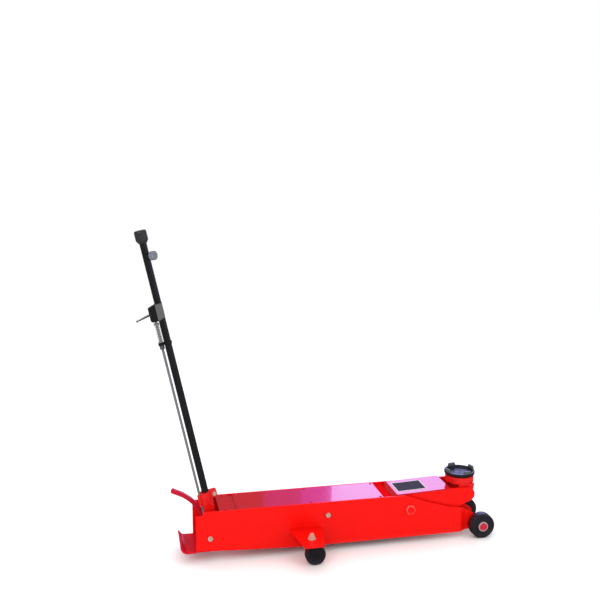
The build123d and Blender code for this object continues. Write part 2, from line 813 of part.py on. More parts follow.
def screw_knob():
    """The round screw knob near the top of the tube, with its stem in the boss."""
    plane = Plane(origin=(tube_offset, 0, screw_knob_s), z_dir=screw_axis)
    start = tube_radius + screw_boss_length + gap
    head = Cylinder(screw_knob_radius, screw_knob_length, align=(Align.CENTER, Align.CENTER, Align.MIN))
    head = fillet(head.edges().filter_by(GeomType.CIRCLE), 3)
    stem_start = tube_radius - 1
    stem = Cylinder(screw_stem_radius, start - stem_start, align=(Align.CENTER, Align.CENTER, Align.MIN))
    return handle_frame * (plane * (Pos(0, 0, start) * head + Pos(0, 0, stem_start) * stem))


def release_knob():
    """The black knob on top of the handle, tapered to the tube."""
    low = tube_top + gap
    high = low + knob_length
    knob = bar_z(tube_offset, 0, knob_radius, low + knob_taper, high)
    knob = fillet(knob.edges().sort_by(Axis.Z)[-1], 5)
    knob += Pos(tube_offset, 0, low + knob_taper / 2) * Cone(tube_radius + 2, knob_radius, knob_taper)
    return handle_frame * (knob - bar_z(tube_offset, 0, release_rod_radius, low, high - 20))


def release_shaft():
    """The long shaft inside the tube that carries the knob's turn down to the pump."""
    return local_bar(tube_offset, 0, release_rod_radius, hub_low + 2, tube_top + gap + knob_length - 20)


def pump_roller():
    """The roller on the handle's lower arms, with its pin ends."""
    side = ear_inner - gap
    roller = bar_y(roller_x, roller_z, roller_radius, -side, side)
    return roller + bar_y(roller_x, roller_z, roller_pin_radius, -ear_outer, ear_outer)


def lock_quadrant():
    """The notched sector fixed on the pivot pin; the lock rod drops into its notches."""
    half = quadrant_thickness / 2
    first = 90 + handle_lean
    disc = Circle(quadrant_radius)
    far = 2 * quadrant_radius
    spread = [first - 14, first + handle_swing / 2, first + handle_swing + 14]
    wedge = outline([(0, 0)] + [(far * cos(radians(a)), far * sin(radians(a))) for a in spread])
    sector = disc & wedge
    width = 2 * (rod_radius + notch_play)
    for share in (0, 0.5, 1):
        angle = first + share * handle_swing - 90
        sector -= Rot(0, 0, angle) * Pos(0, quadrant_radius) * Rectangle(width, 2 * notch_depth)
    plate = side_shape(Pos(pivot_x, pivot_z) * (sector + Circle(quadrant_hub_radius)), -half, half)
    side = ear_inner - gap
    plate += bar_y(pivot_x, pivot_z, quadrant_hub_radius, -side, side)
    return plate - bar_y(pivot_x, pivot_z, pivot_radius, -side, side)


def lever_bracket():
    """The block clamped round the tube that holds the lever and the rod's upper end."""
    front = tube_offset + tube_radius
    body = outline([
        (bracket_back, bracket_low + 8),
        (bracket_back, bracket_high - 14),
        (tube_offset - 10, bracket_high),
        (front + 1, bracket_high),
        (front + 1, bracket_low + 14),
        (tube_offset - 12, bracket_low),
        (bracket_back + 8, bracket_low),
    ])
    bracket = side_shape(body, -bracket_half, bracket_half)
    bracket -= bar_z(tube_offset, 0, tube_radius, bracket_low, bracket_high)
    room = outline([
        (bracket_back - 1, bracket_low + 12),
        (bracket_back - 1, bracket_high - 20),
        (10, bracket_high - 20),
        (10, bracket_low + 12),
    ])
    bracket -= side_shape(room, -cheek_gap_half, cheek_gap_half)
    bracket -= bar_z(0, 0, rod_radius + running, bracket_low, bracket_low + 12)
    bracket -= bar_y(lever_pivot_x, lever_pivot_s, lever_pin_radius + running, -bracket_half, bracket_half)
    return handle_frame * bracket


def lock_lever():
    """The squeeze lever: a tapered bar, its pin, and the nose that presses on the rod."""
    half = lever_thickness / 2
    rise = radians(lever_mid)
    nose_x = lever_pivot_x + lever_arm * cos(rise)
    nose_s = lever_pivot_s + lever_arm * sin(rise)
    droop = radians(lever_droop)
    end_x = lever_pivot_x - lever_reach * cos(droop)
    end_s = lever_pivot_s - lever_reach * sin(droop)
    shape = strap(lever_pivot_x, lever_pivot_s, lever_hub_radius, end_x, end_s, 4.0)
    shape += strap(lever_pivot_x, lever_pivot_s, lever_nose_radius / 2, nose_x, nose_s, lever_nose_radius / 2)
    shape += Pos(nose_x, nose_s) * Circle(lever_nose_radius)
    lever = side_shape(shape, -half, half)
    lever += bar_y(lever_pivot_x, lever_pivot_s, lever_pin_radius, -bracket_half, bracket_half)
    return handle_frame * lever


def lock_rod():
    """The bright rod from under the lever's nose to the quadrant, with its spring collar."""
    rod = bar_z(0, 0, rod_radius, rod_tip, rod_top)
    collar = bar_z(0, 0, spring_radius, spring_high, spring_high + collar_height)
    return handle_frame * (rod + collar)


def lock_spring():
    """The coil that lifts the lock rod, drawn as the sleeve that its wire fills."""
    low = spring_low
    sleeve = bar_z(0, 0, spring_radius, low, spring_high)
    return handle_frame * (sleeve - bar_z(0, 0, rod_radius + 1.5, low, spring_high))


def rod_guide():
    """The ring that guides the rod, on a saddle clamped round the tube."""
    high = spring_low
    low = high - guide_ring_height
    guide = bar_z(0, 0, guide_ring_radius, low, high)
    guide += bar_z(tube_offset, 0, tube_radius + 3, low, high)
    guide += block(0, tube_offset, -7, 7, low, high)
    guide -= bar_z(tube_offset, 0, tube_radius, low, high)
    return handle_frame * (guide - bar_z(0, 0, rod_radius + running, low, high))


def rod_nut():
    """The long nut that stops the rod under its guide ring."""
    high = spring_low - guide_ring_height - gap
    nut = Pos(0, 0, high - rod_nut_height) * raise_up(RegularPolygon(rod_nut_radius, 6), rod_nut_height)
    nut -= bar_z(0, 0, rod_radius, high - rod_nut_height, high)
    return handle_frame * nut


# ---- lift arm ----
def plate_z_at(x):
    """Height of the arm's top edge, where its top plate lies."""
    return arm_plate_z + (x - arm_plate_rear) * tan(radians(arm_plate_rise))


def arm_cheek():
    """The left cheek of the arm: crank ear, pivot boss and rounded tip."""
    tip = (cradle_x, cradle_z)
    front = (arm_plate_front, plate_z_at(arm_plate_front))
    body = outline([
        (crank_x - crank_ear_radius, crank_z),
        (arm_plate_rear + 6, plate_z_at(arm_plate_rear + 6)),
        front,
        touch_point(front, tip, tip_radius, -1),
        tip,
        touch_point(cheek_belly, tip, tip_radius, 1),
        cheek_belly,
        cheek_mid,
        (crank_x, crank_z - crank_ear_radius),
    ])
    body += Pos(*tip) * Circle(tip_radius) + Pos(crank_x, crank_z) * Circle(crank_ear_radius)
    inner = cheek_inner
    cheek = side_shape(body, inner, arm_half_width)
    cheek += bar_y(arm_x, arm_z, boss_radius, boss_inner, inner)
    cheek -= bar_y(arm_x, arm_z, arm_shaft_radius + running, boss_inner, arm_half_width)
    cheek -= bar_y(crank_x, crank_z, crank_pin_radius, inner, arm_half_width)
    return cheek - bar_y(cradle_x, cradle_z, cradle_pin_radius, inner, arm_half_width)


def arm_top_plate():
    """The arm's top plate, which curls down at its tail round the pivot."""
    rear, front = arm_plate_rear, arm_plate_front
    thick = arm_plate_thickness
    flat = outline([
        (rear, plate_z_at(rear)),
        (front, plate_z_at(front)),
        (front, plate_z_at(front) + thick),
        (rear, plate_z_at(rear) + thick),
    ])
    top_angle = degrees(atan2(plate_z_at(rear) + thick - arm_z, rear - arm_x))
    ring = Circle(apron_outer) - Circle(apron_outer - apron_thickness)
    far = 3 * apron_outer
    turns = [radians(top_angle), radians(top_angle + apron_angle)]
    wedge = outline([(0, 0)] + [(far * cos(a), far * sin(a)) for a in turns])
    apron = Pos(arm_x, arm_z) * (ring & wedge)
    return side_shape(flat + apron, -arm_plate_half, arm_plate_half)


def label_plate():
    """The thin plain plate on top of the arm."""
    z0 = arm_plate_thickness
    corners = [(x, plate_z_at(x) + z0) for x in (label_rear, label_front)]
    upper = [(x, z + label_thickness) for x, z in reversed(corners)]
    return side_shape(outline(corners + upper), -label_half, label_half)


def arm_pivot_shaft():
    reach = half_width + shaft_nut_height + 3
    return bar_y(arm_x, arm_z, arm_shaft_radius, -reach, reach)


def pivot_shaft_nuts():
    """The nuts outside the side plates on the arm's pivot shaft."""
    nut = hexagon_y(arm_x, arm_z, shaft_nut_radius, half_width, half_width + shaft_nut_height)
    nut -= bar_y(arm_x, arm_z, arm_shaft_radius, half_width, half_width + shaft_nut_height)
    return list(both_sides(nut))


def crank_pin():
    return bar_y(crank_x, crank_z, crank_pin_radius, -arm_half_width, arm_half_width)


def cradle_pin():
    reach = arm_half_width + 2
    return bar_y(cradle_x, cradle_z, cradle_pin_radius, -reach, reach)


def link_anchor():
    """The fixed bracket on the pivot shaft that holds the rear pin of the levelling link."""
    inner = link_half + 1
    lugs = strap(arm_x, arm_z, anchor_hub_radius, anchor_x, anchor_z, link_eye_radius)
    anchor = bar_y(arm_x, arm_z, anchor_hub_radius, -anchor_outer, anchor_outer)
    for side in (-1, 1):
        anchor += side_shape(lugs, *sorted((side * inner, side * anchor_outer)))
    anchor += bar_y(anchor_x, anchor_z, link_pin_radius, -anchor_outer, anchor_outer)
    return anchor - bar_y(arm_x, arm_z, arm_shaft_radius, -anchor_outer, anchor_outer)


def levelling_link():
    """The bar that keeps the cradle level, with an eye at each end."""
    bar = strap(anchor_x, anchor_z, link_height / 2, lug_x, lug_z, link_height / 2)
    for x, z in ((anchor_x, anchor_z), (lug_x, lug_z)):
        bar += Pos(x, z) * Circle(link_eye_radius - 0.8)
    link = side_shape(bar, -link_half, link_half)
    link -= bar_y(anchor_x, anchor_z, link_pin_radius + running, -link_half, link_half)
    return link - bar_y(lug_x, lug_z, link_pin_radius + 4 * running, -link_half, link_half)


def cradle():
    """The cast cradle: cup for the saddle, neck between the cheeks and a forked lug below."""
    neck = cradle_neck
    cup = bar_z(saddle_x, 0, cup_radius, cup_low, cup_high)
    cup = chamfer(cup.edges().sort_by(Axis.Z)[0], 6)
    neck_shape = outline([
        (cradle_x - 44, cup_low + 8),
        (cradle_x - 30, cradle_z - 12),
        (cradle_x + 30, cradle_z - 12),
        (cradle_x + 40, cup_low + 8),
    ]) + Pos(cradle_x, cradle_z) * Circle(neck_radius)
    body = cup + side_shape(neck_shape, -neck, neck)
    inner = link_half + 1
    outer = anchor_outer
    ears = strap(cradle_x, cradle_z, 24, lug_x, lug_z, link_eye_radius - 1)
    body += side_shape(ears, -outer, outer)
    room = strap(lug_x, lug_z, link_eye_radius + 1.5, lug_x - 60, lug_z - 20, link_eye_radius + 1.5)
    tilt = radians(arm_swing)
    down = strap(lug_x, lug_z, link_eye_radius + 1.5,
                 lug_x - 60 * cos(tilt), lug_z - 60 * sin(tilt), link_eye_radius + 1.5)
    body -= side_shape(room + down, -inner, inner)
    body += bar_y(lug_x, lug_z, link_pin_radius, -outer, outer)
    body -= bar_y(cradle_x, cradle_z, cradle_pin_radius + running, -neck, neck)
    return body - bar_z(saddle_x, 0, spigot_radius + running, cup_high - spigot_length - 2, cup_high)


def saddle():
    """The round saddle: dished, with lugs standing on its rim, on a spigot."""
    low = cup_high + gap
    inner = saddle_radius - saddle_wall
    plate = Pos(0, 0, low) * Cone(saddle_foot_radius, saddle_radius, 7, align=(
        Align.CENTER, Align.CENTER, Align.MIN))
    plate += bar_z(0, 0, saddle_radius, low + 7, saddle_rim_z)
    plate -= bar_z(0, 0, inner, saddle_floor_z, saddle_rim_z)
    ring = Circle(saddle_radius) - Circle(inner)
    for turn in range(lug_count):
        angle = 360 / lug_count * turn + lug_turn
        part = ring & (Rot(0, 0, angle) * Pos(saddle_radius, 0) * Rectangle(3 * saddle_wall, lug_width))
        plate += Pos(0, 0, saddle_rim_z) * raise_up(part, lug_height)
    plate += bar_z(0, 0, spigot_radius, cup_high - spigot_length, low + 1)
    return Pos(saddle_x, 0, 0) * plate


def build():
    """Every piece of the jack under its own name."""
    pieces = {}
    plate_left, plate_right = both_sides(side_plate())
    pieces["side_plate_left"] = plate_left
    pieces["side_plate_right"] = plate_right
    pieces["rear_step"] = rear_step()
    pieces["middle_cross_tube"] = cross_tube(tie_x, tie_z, tie_bolt_radius)
    pieces["middle_tie_bolt"] = through_bolt(tie_x, tie_z, tie_bolt_radius)
    pieces["handle_pivot_pin"] = through_bolt(pivot_x, pivot_z, pivot_radius)
    pieces["cylinder_support"] = cylinder_support()
    pieces["front_cross_strip"] = front_cross_strip()
    pieces["top_cover"] = top_cover()
    pieces["pump_cover"] = pump_cover()
    pieces["cover_screws"] = cover_screws()
    pieces["front_axle"] = front_axle()
    pieces["axle_caps"] = axle_caps()
    for name, make in (
        ("front_wheel", front_wheel),
        ("caster_bracket", caster_bracket),
        ("caster_fork", caster_fork),
        ("caster_wheel", caster_wheel),
    ):
        pieces[name + "_left"], pieces[name + "_right"] = both_sides(make())
    pieces["kingpin_bolts"] = kingpin_bolts()
    pieces["pump_body"] = pump_body()
    pieces["filler_plug"] = filler_plug()
    pieces["cylinder_tube"] = cylinder_tube()
    pieces["reservoir_tank"] = reservoir_tank()
    pieces["gland_nut"] = gland_nut()
    pieces["ram"] = ram()
    pieces["ram_spring"] = ram_spring()
    pieces["ram_yoke"] = ram_yoke()
    pieces["pump_plunger"] = pump_plunger()
    pieces["plunger_spring"] = plunger_spring()
    pieces["foot_plunger"] = foot_plunger()
    pieces["foot_pedal"] = foot_pedal()
    pieces["handle_socket"] = handle_socket()
    pieces["socket_bolt"] = socket_bolt()
    pieces["handle_tube"] = handle_tube()
    pieces["screw_knob"] = screw_knob()
    pieces["release_knob"] = release_knob()
    pieces["release_shaft"] = release_shaft()
    pieces["pump_roller"] = pump_roller()
    pieces["lock_quadrant"] = lock_quadrant()
    pieces["lever_bracket"] = lever_bracket()
    pieces["lock_lever"] = lock_lever()
    pieces["lock_rod"] = lock_rod()
    pieces["lock_spring"] = lock_spring()
    pieces["rod_guide"] = rod_guide()
    pieces["rod_nut"] = rod_nut()
    pieces["arm_cheek_left"], pieces["arm_cheek_right"] = both_sides(arm_cheek())
    pieces["arm_top_plate"] = arm_top_plate()
    pieces["label_plate"] = label_plate()
    pieces["arm_pivot_shaft"] = arm_pivot_shaft()
    pieces["pivot_shaft_nuts"] = pivot_shaft_nuts()
    pieces["crank_pin"] = crank_pin()
    pieces["cradle_pin"] = cradle_pin()
    pieces["link_anchor"] = link_anchor()
    pieces["levelling_link"] = levelling_link()
    pieces["cradle"] = cradle()
    pieces["saddle"] = saddle()
    return pieces


def as_compound(piece):
    """One shape from a piece, or from the list of like solids in a group."""
    solids = []
    for item in piece if isinstance(piece, list) else [piece]:
        solids.extend(item.solids())
    return solids[0] if len(solids) == 1 else Compound(children=solids)


pieces = {name: as_compound(piece) for name, piece in build().items()}
boxes = [piece.bounding_box() for piece in pieces.values()]
shift_x = -(min(b.min.X for b in boxes) + max(b.max.X for b in boxes)) / 2

os.makedirs("parts", exist_ok=True)
for name, piece in pieces.items():
    export_step(piece.moved(Location((shift_x, 0, 0))), f"parts/{name}.step")
print(f"{len(pieces)} pieces, shifted {shift_x:.2f} mm along X")
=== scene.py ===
import json
from math import radians

import bmesh
import bpy
import numpy as np
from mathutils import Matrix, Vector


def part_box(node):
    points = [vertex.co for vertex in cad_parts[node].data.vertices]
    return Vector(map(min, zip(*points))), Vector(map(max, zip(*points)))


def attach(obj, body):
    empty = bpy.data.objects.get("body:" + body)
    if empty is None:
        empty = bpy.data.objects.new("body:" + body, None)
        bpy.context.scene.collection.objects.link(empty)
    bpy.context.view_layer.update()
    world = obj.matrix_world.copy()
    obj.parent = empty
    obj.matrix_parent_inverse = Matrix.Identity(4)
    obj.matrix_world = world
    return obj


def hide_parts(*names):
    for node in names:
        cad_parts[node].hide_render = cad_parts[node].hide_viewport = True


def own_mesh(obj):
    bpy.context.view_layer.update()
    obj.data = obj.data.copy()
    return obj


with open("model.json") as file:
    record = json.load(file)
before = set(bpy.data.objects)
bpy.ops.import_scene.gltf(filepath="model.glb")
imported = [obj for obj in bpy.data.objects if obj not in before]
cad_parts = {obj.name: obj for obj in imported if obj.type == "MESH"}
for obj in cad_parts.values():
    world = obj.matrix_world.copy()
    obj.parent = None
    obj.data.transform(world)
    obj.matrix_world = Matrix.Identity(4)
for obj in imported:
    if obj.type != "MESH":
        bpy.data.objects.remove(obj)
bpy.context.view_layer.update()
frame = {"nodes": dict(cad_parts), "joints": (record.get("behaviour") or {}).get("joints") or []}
joints = {joint["name"]: joint for joint in frame["joints"]}

# ---- Camera ----
# A viewer standing behind the rear right corner of the jack at head height, looking
# forwards across it and a little down.  The lens is about a normal one.
view_camera = bpy.data.objects.new("viewer", bpy.data.cameras.new("viewer"))
bpy.context.scene.collection.objects.link(view_camera)
view_camera.location = (-0.9099, -3.730, 1.782)
view_camera.rotation_euler = (radians(90 - 8.29), 0, radians(-12.17))
view_camera.data.lens = 48.66
view_camera.data.sensor_width = 36
bpy.context.scene.camera = view_camera

# ---- Floor and light ----
# A white floor in a white room, a broad soft light from the viewer's left, weaker ones from the
# right and above, and lilac and magenta panels behind the jack that its covers mirror.  Mirrored
# rays meet a dim room and floor, so that paint stays deep; colours are shown as they are.
bpy.context.scene.view_settings.view_transform = "Standard"
bpy.ops.mesh.primitive_plane_add(size=60)
floor = bpy.context.object
floor.name = "studio_floor"
floor_paint = bpy.data.materials.new("pale_floor")
floor_paint.use_nodes = True
floor_shader = floor_paint.node_tree.nodes["Principled BSDF"]
floor_seen = floor_paint.node_tree.nodes.new("ShaderNodeLightPath")
floor_tone = floor_paint.node_tree.nodes.new("ShaderNodeMix")
floor_tone.data_type = "RGBA"
floor_tone.inputs["A"].default_value = (0.93, 0.93, 0.93, 1)
floor_tone.inputs["B"].default_value = (0.10, 0.10, 0.10, 1)
floor_paint.node_tree.links.new(floor_seen.outputs["Is Glossy Ray"], floor_tone.inputs["Factor"])
floor_paint.node_tree.links.new(floor_tone.outputs["Result"], floor_shader.inputs["Base Color"])
floor_shader.inputs["Roughness"].default_value = 0.9
floor_shader.inputs["Specular IOR Level"].default_value = 0.0
floor.data.materials.append(floor_paint)

plain, lilac, magenta = (1.0, 1.0, 1.0), (0.46, 0.46, 1.0), (0.50, 0.10, 1.0)
for name, place, aim, size, watts, tint in (
    ("key_light", (-2.6, -3.6, 3.6), (0.0, 0.0, 0.25), (3.0, 3.0), 60, plain),
    ("fill_light", (3.2, -3.0, 2.2), (0.2, 0.0, 0.25), (2.5, 2.5), 22, plain),
    ("top_light", (0.0, 0.6, 4.2), (0.0, 0.0, 0.2), (3.0, 2.0), 24, plain),
    ("back_panel", (2.35, 4.0, 2.0), (0.8, 0.0, 0.3), (2.45, 2.6), 60, lilac),
    ("side_panel", (0.97, 4.1, 2.0), (0.2, 0.0, 0.3), (0.34, 2.6), 2.4, magenta),
    ("edge_panel", (0.60, 4.1, 2.0), (-0.2, 0.0, 0.3), (0.40, 2.6), 1.2, magenta),
):
    lamp = bpy.data.objects.new(name, bpy.data.lights.new(name, "AREA"))
    lamp.data.shape = "RECTANGLE"
    lamp.data.size, lamp.data.size_y = size
    lamp.data.energy = watts
    lamp.data.color = tint
    lamp.location = place
    towards = np.array(aim) - np.array(place)
    flat = np.hypot(towards[0], towards[1])
    lamp.rotation_euler = (np.arctan2(flat, -towards[2]), 0, np.arctan2(-towards[0], towards[1]))
    lamp.visible_camera = False
    bpy.context.scene.collection.objects.link(lamp)

sky = bpy.data.worlds.new("studio_air")
bpy.context.scene.world = sky
sky.use_nodes = True
air = sky.node_tree
seen = air.nodes.new("ShaderNodeLightPath")
lit_air = air.nodes.new("ShaderNodeMix")
white_air = air.nodes.new("ShaderNodeMix")
for blend in (lit_air, white_air):
    blend.data_type = "RGBA"
lit_air.inputs["A"].default_value = (0.10, 0.10, 0.11, 1)
lit_air.inputs["B"].default_value = (1.08, 1.08, 1.08, 1)
white_air.inputs["B"].default_value = (1, 1, 1, 1)
air.links.new(seen.outputs["Is Diffuse Ray"], lit_air.inputs["Factor"])
air.links.new(lit_air.outputs["Result"], white_air.inputs["A"])
air.links.new(seen.outputs["Is Camera Ray"], white_air.inputs["Factor"])
air.links.new(white_air.outputs["Result"], air.nodes["Background"].inputs["Color"])

# ---- Side plates, covers and the other red steel sheet ----
# Laser-cut and bent steel plate, sprayed with bright red enamel: a low sheen, hardly a ripple
# in the film, small changes of tone, and dust low down where the floor throws it up.
def new_group(name, inputs, outputs):
    """An empty shader node group with named inputs and outputs."""
    group = bpy.data.node_groups.new(name, "ShaderNodeTree")
    for label, kind, value in inputs:
        socket = group.interface.new_socket(label, in_out="INPUT", socket_type=kind)
        if value is not None:
            socket.default_value = value
    for label, kind in outputs:
        group.interface.new_socket(label, in_out="OUTPUT", socket_type=kind)
    return group, group.nodes.new("NodeGroupInput"), group.nodes.new("NodeGroupOutput")


def build_skin_group():
    """Tone and roughness follow one broad noise and the height a fine one; dust, strongest at
    the floor, fades out at the dust line."""
    group, come, go = new_group("skin", [
        ("Place", "NodeSocketVector", None),
        ("Colour", "NodeSocketColor", (0.5, 0.5, 0.5, 1)),
        ("Shade", "NodeSocketColor", (0.4, 0.4, 0.4, 1)),
        ("Broad", "NodeSocketFloat", 14.0),
        ("Fine", "NodeSocketFloat", 600.0),
        ("Smoothest", "NodeSocketFloat", 0.2),
        ("Roughest", "NodeSocketFloat", 0.3),
        ("Dust line", "NodeSocketFloat", 0.05),
    ], [("Colour", "NodeSocketColor"), ("Roughness", "NodeSocketFloat"),
        ("Height", "NodeSocketFloat")])
    nodes, links = group.nodes, group.links
    broad = nodes.new("ShaderNodeTexNoise")
    fine = nodes.new("ShaderNodeTexNoise")
    broad.inputs["Detail"].default_value = 3
    fine.inputs["Detail"].default_value = 2
    for node, scale in ((broad, "Broad"), (fine, "Fine")):
        links.new(come.outputs["Place"], node.inputs["Vector"])
        links.new(come.outputs[scale], node.inputs["Scale"])
    tone = nodes.new("ShaderNodeMix")
    tone.data_type = "RGBA"
    links.new(broad.outputs["Fac"], tone.inputs["Factor"])
    links.new(come.outputs["Colour"], tone.inputs["A"])
    links.new(come.outputs["Shade"], tone.inputs["B"])
    split = nodes.new("ShaderNodeSeparateXYZ")
    links.new(come.outputs["Place"], split.inputs["Vector"])
    low = nodes.new("ShaderNodeMapRange")
    low.inputs["From Min"].default_value = 0.0
    low.inputs["To Min"].default_value = 0.22
    low.inputs["To Max"].default_value = 0.0
    links.new(split.outputs["Z"], low.inputs["Value"])
    links.new(come.outputs["Dust line"], low.inputs["From Max"])
    dusty = nodes.new("ShaderNodeMath")
    dusty.operation = "MULTIPLY"
    links.new(low.outputs["Result"], dusty.inputs[0])
    links.new(broad.outputs["Fac"], dusty.inputs[1])
    dust = nodes.new("ShaderNodeMix")
    dust.data_type = "RGBA"
    dust.inputs["B"].default_value = (0.42, 0.38, 0.34, 1)
    links.new(dusty.outputs["Value"], dust.inputs["Factor"])
    links.new(tone.outputs["Result"], dust.inputs["A"])
    gloss = nodes.new("ShaderNodeMapRange")
    links.new(broad.outputs["Fac"], gloss.inputs["Value"])
    links.new(come.outputs["Smoothest"], gloss.inputs["To Min"])
    links.new(come.outputs["Roughest"], gloss.inputs["To Max"])
    links.new(dust.outputs["Result"], go.inputs["Colour"])
    links.new(gloss.outputs["Result"], go.inputs["Roughness"])
    links.new(fine.outputs["Fac"], go.inputs["Height"])
    return group


skin_group = build_skin_group()


def finish(name, colour, shade, gloss, broad=14.0, fine=600.0, bump=0.0002, metal=0.0,
           coat=0.0, specular=0.5, dust_line=0.05, stretch=(1, 1, 1)):
    """A finish for one kind of surface, its grain stretched by a mapping."""
    material = bpy.data.materials.new(name)
    material.use_nodes = True
    nodes, links = material.node_tree.nodes, material.node_tree.links
    shader = nodes["Principled BSDF"]
    shader.inputs["Metallic"].default_value = metal
    shader.inputs["Coat Weight"].default_value = coat
    shader.inputs["Coat Roughness"].default_value = 0.05
    shader.inputs["Specular IOR Level"].default_value = specular
    where = nodes.new("ShaderNodeTexCoord")
    mapping = nodes.new("ShaderNodeMapping")
    mapping.inputs["Scale"].default_value = stretch
    skin = nodes.new("ShaderNodeGroup")
    skin.node_tree = skin_group
    for label, value in (("Colour", (*colour, 1)), ("Shade", (*shade, 1)), ("Broad", broad),
                         ("Fine", fine), ("Smoothest", gloss[0]), ("Roughest", gloss[1]),
                         ("Dust line", dust_line)):
        skin.inputs[label].default_value = value
    relief = nodes.new("ShaderNodeBump")
    relief.inputs["Distance"].default_value = bump
    links.new(where.outputs["Object"], mapping.inputs["Vector"])
    links.new(mapping.outputs["Vector"], skin.inputs["Place"])
    links.new(skin.outputs["Colour"], shader.inputs["Base Color"])
    links.new(skin.outputs["Roughness"], shader.inputs["Roughness"])
    links.new(skin.outputs["Height"], relief.inputs["Height"])
    links.new(relief.outputs["Normal"], shader.inputs["Normal"])
    return material


def dress(material, *nodes):
    """The CAD nodes take this finish in all their material slots."""
    for name in nodes:
        for place in frame["nodes"][name].material_slots:
            place.material = material


red_enamel = finish("red_enamel", (0.84, 0.005, 0.003), (0.76, 0.004, 0.002), (0.24, 0.34),
                    fine=420.0, bump=0.00003, coat=0.05, specular=0.10)
dress(red_enamel, "side_plate_left", "side_plate_right", "arm_cheek_left",
      "arm_cheek_right", "caster_bracket_left", "caster_bracket_right", "middle_cross_tube",
      "cylinder_support", "reservoir_tank")

# ---- Front cross strip ----
# A flat bar welded in below the lids, where the spray only left a thin dull coat.
dull_enamel = finish("dull_enamel", (0.70, 0.004, 0.006), (0.60, 0.003, 0.005), (0.50, 0.60),
                     bump=0.00003, specular=0.0)
dress(dull_enamel, "front_cross_strip")

# ---- Rear step ----
# The bent plate at the back, in the same enamel, duller, and darkened as painted shade.
shaded_step_enamel = finish("shaded_step_enamel", (0.62, 0.004, 0.020), (0.52, 0.003, 0.014), (0.24, 0.38),
                     broad=22.0, fine=500.0, bump=0.00005, coat=0.15, specular=0.2)
dress(shaded_step_enamel, "rear_step")

# ---- Covers and the arm's top plate ----
# The flat lids that the workshop lights shine on: the same enamel, rubbed smoother, so that
# it mirrors what is behind the jack.
lid_enamel = finish("lid_enamel", (0.58, 0.002, 0.008), (0.50, 0.001, 0.006), (0.12, 0.20),
                    broad=6.0, fine=300.0, bump=0.00001, coat=1.0)
dress(lid_enamel, "top_cover", "pump_cover", "arm_top_plate", "cover_screws")

# ---- Castings ----
# Sand-cast iron under the same red enamel: the skin is pebbled and less even than plate.
red_casting = finish("red_casting", (0.84, 0.008, 0.006), (0.62, 0.004, 0.004), (0.22, 0.42),
                     broad=40.0, fine=900.0, bump=0.00035, coat=0.15, specular=0.3)
dress(red_casting, "cradle", "handle_socket", "pump_body", "link_anchor")

# ---- Bolts, nuts and screws ----
# Zinc-plated steel fasteners, bright on their turned faces and clouded by the plating bath.
zinc = finish("zinc_plate", (0.82, 0.74, 0.62), (0.62, 0.56, 0.47), (0.24, 0.42),
              broad=120.0, fine=1500.0, bump=0.00005, metal=0.55, dust_line=0.0001)
dress(zinc, "middle_tie_bolt", "handle_pivot_pin", "kingpin_bolts", "socket_bolt", "filler_plug")

# ---- Bare shafts and pins ----
# Turned steel with fine tool lines round the bar, wiped with oil.  The arm's shaft and the
# cradle's pin are painted over with the plates.
turned_steel = finish("turned_steel", (0.52, 0.51, 0.50), (0.40, 0.39, 0.38), (0.22, 0.38),
                      broad=60.0, fine=1400.0, bump=0.00006, metal=1.0, dust_line=0.0001,
                      stretch=(1, 6, 1))
dress(turned_steel, "front_axle", "crank_pin", "pump_roller", "pump_plunger", "foot_plunger",
      "cylinder_tube", "gland_nut", "levelling_link", "lock_quadrant", "release_shaft", "ram_yoke")
dress(red_enamel, "arm_pivot_shaft", "cradle_pin")

# ---- Nuts of the arm's shaft ----
# Large nuts painted with the jack; spanners have rubbed the paint shinier.  Its paler pink
# patches are a painted highlight.
nut_highlight_paint = finish("nut_painted_highlight", (0.86, 0.20, 0.17), (0.80, 0.03, 0.025), (0.16, 0.30),
                   broad=70.0, fine=900.0, bump=0.0001, coat=0.6)
dress(nut_highlight_paint, "pivot_shaft_nuts")

# ---- Ram, lock rod and its nut ----
# Ground and chromed bars that stay bright, with only a trace of handling marks; the lock rod is
# left as darker drawn steel.
chromed = finish("chromed_bar", (0.86, 0.87, 0.88), (0.74, 0.75, 0.77), (0.06, 0.16),
                 broad=30.0, fine=1200.0, bump=0.00001, metal=1.0, dust_line=0.0001)
dress(chromed, "ram", "rod_nut")
rod_steel = finish("rod_steel", (0.33, 0.35, 0.34), (0.24, 0.26, 0.25), (0.18, 0.30),
                   broad=30.0, fine=1200.0, bump=0.00002, metal=0.5, dust_line=0.0001)
dress(rod_steel, "lock_rod")

# ---- Black handle tube and the caster forks ----
# Welded steel tube and pressed forks, powder coated in satin black, slightly pebbled.
black_coat = finish("black_powder_coat", (0.006, 0.006, 0.0065), (0.011, 0.011, 0.012),
                    (0.28, 0.42), broad=25.0, fine=1600.0, bump=0.00008, dust_line=0.04)
dress(black_coat, "handle_tube", "rod_guide", "caster_fork_left", "caster_fork_right")

# ---- Clamp block of the lock lever ----
# A small block welded on the tube in the same black, with grey painted on the front of its
# right cheek as a painted reflection.
def paint_over(material, colour, mask):
    """A second colour over a finish's own, by as much as the mask socket says."""
    nodes, links = material.node_tree.nodes, material.node_tree.links
    base = nodes["Principled BSDF"].inputs["Base Color"]
    over = nodes.new("ShaderNodeMix")
    over.data_type = "RGBA"
    over.inputs["B"].default_value = colour
    links.new(mask, over.inputs["Factor"])
    links.new(base.links[0].from_socket, over.inputs["A"])
    links.new(over.outputs["Result"], base)


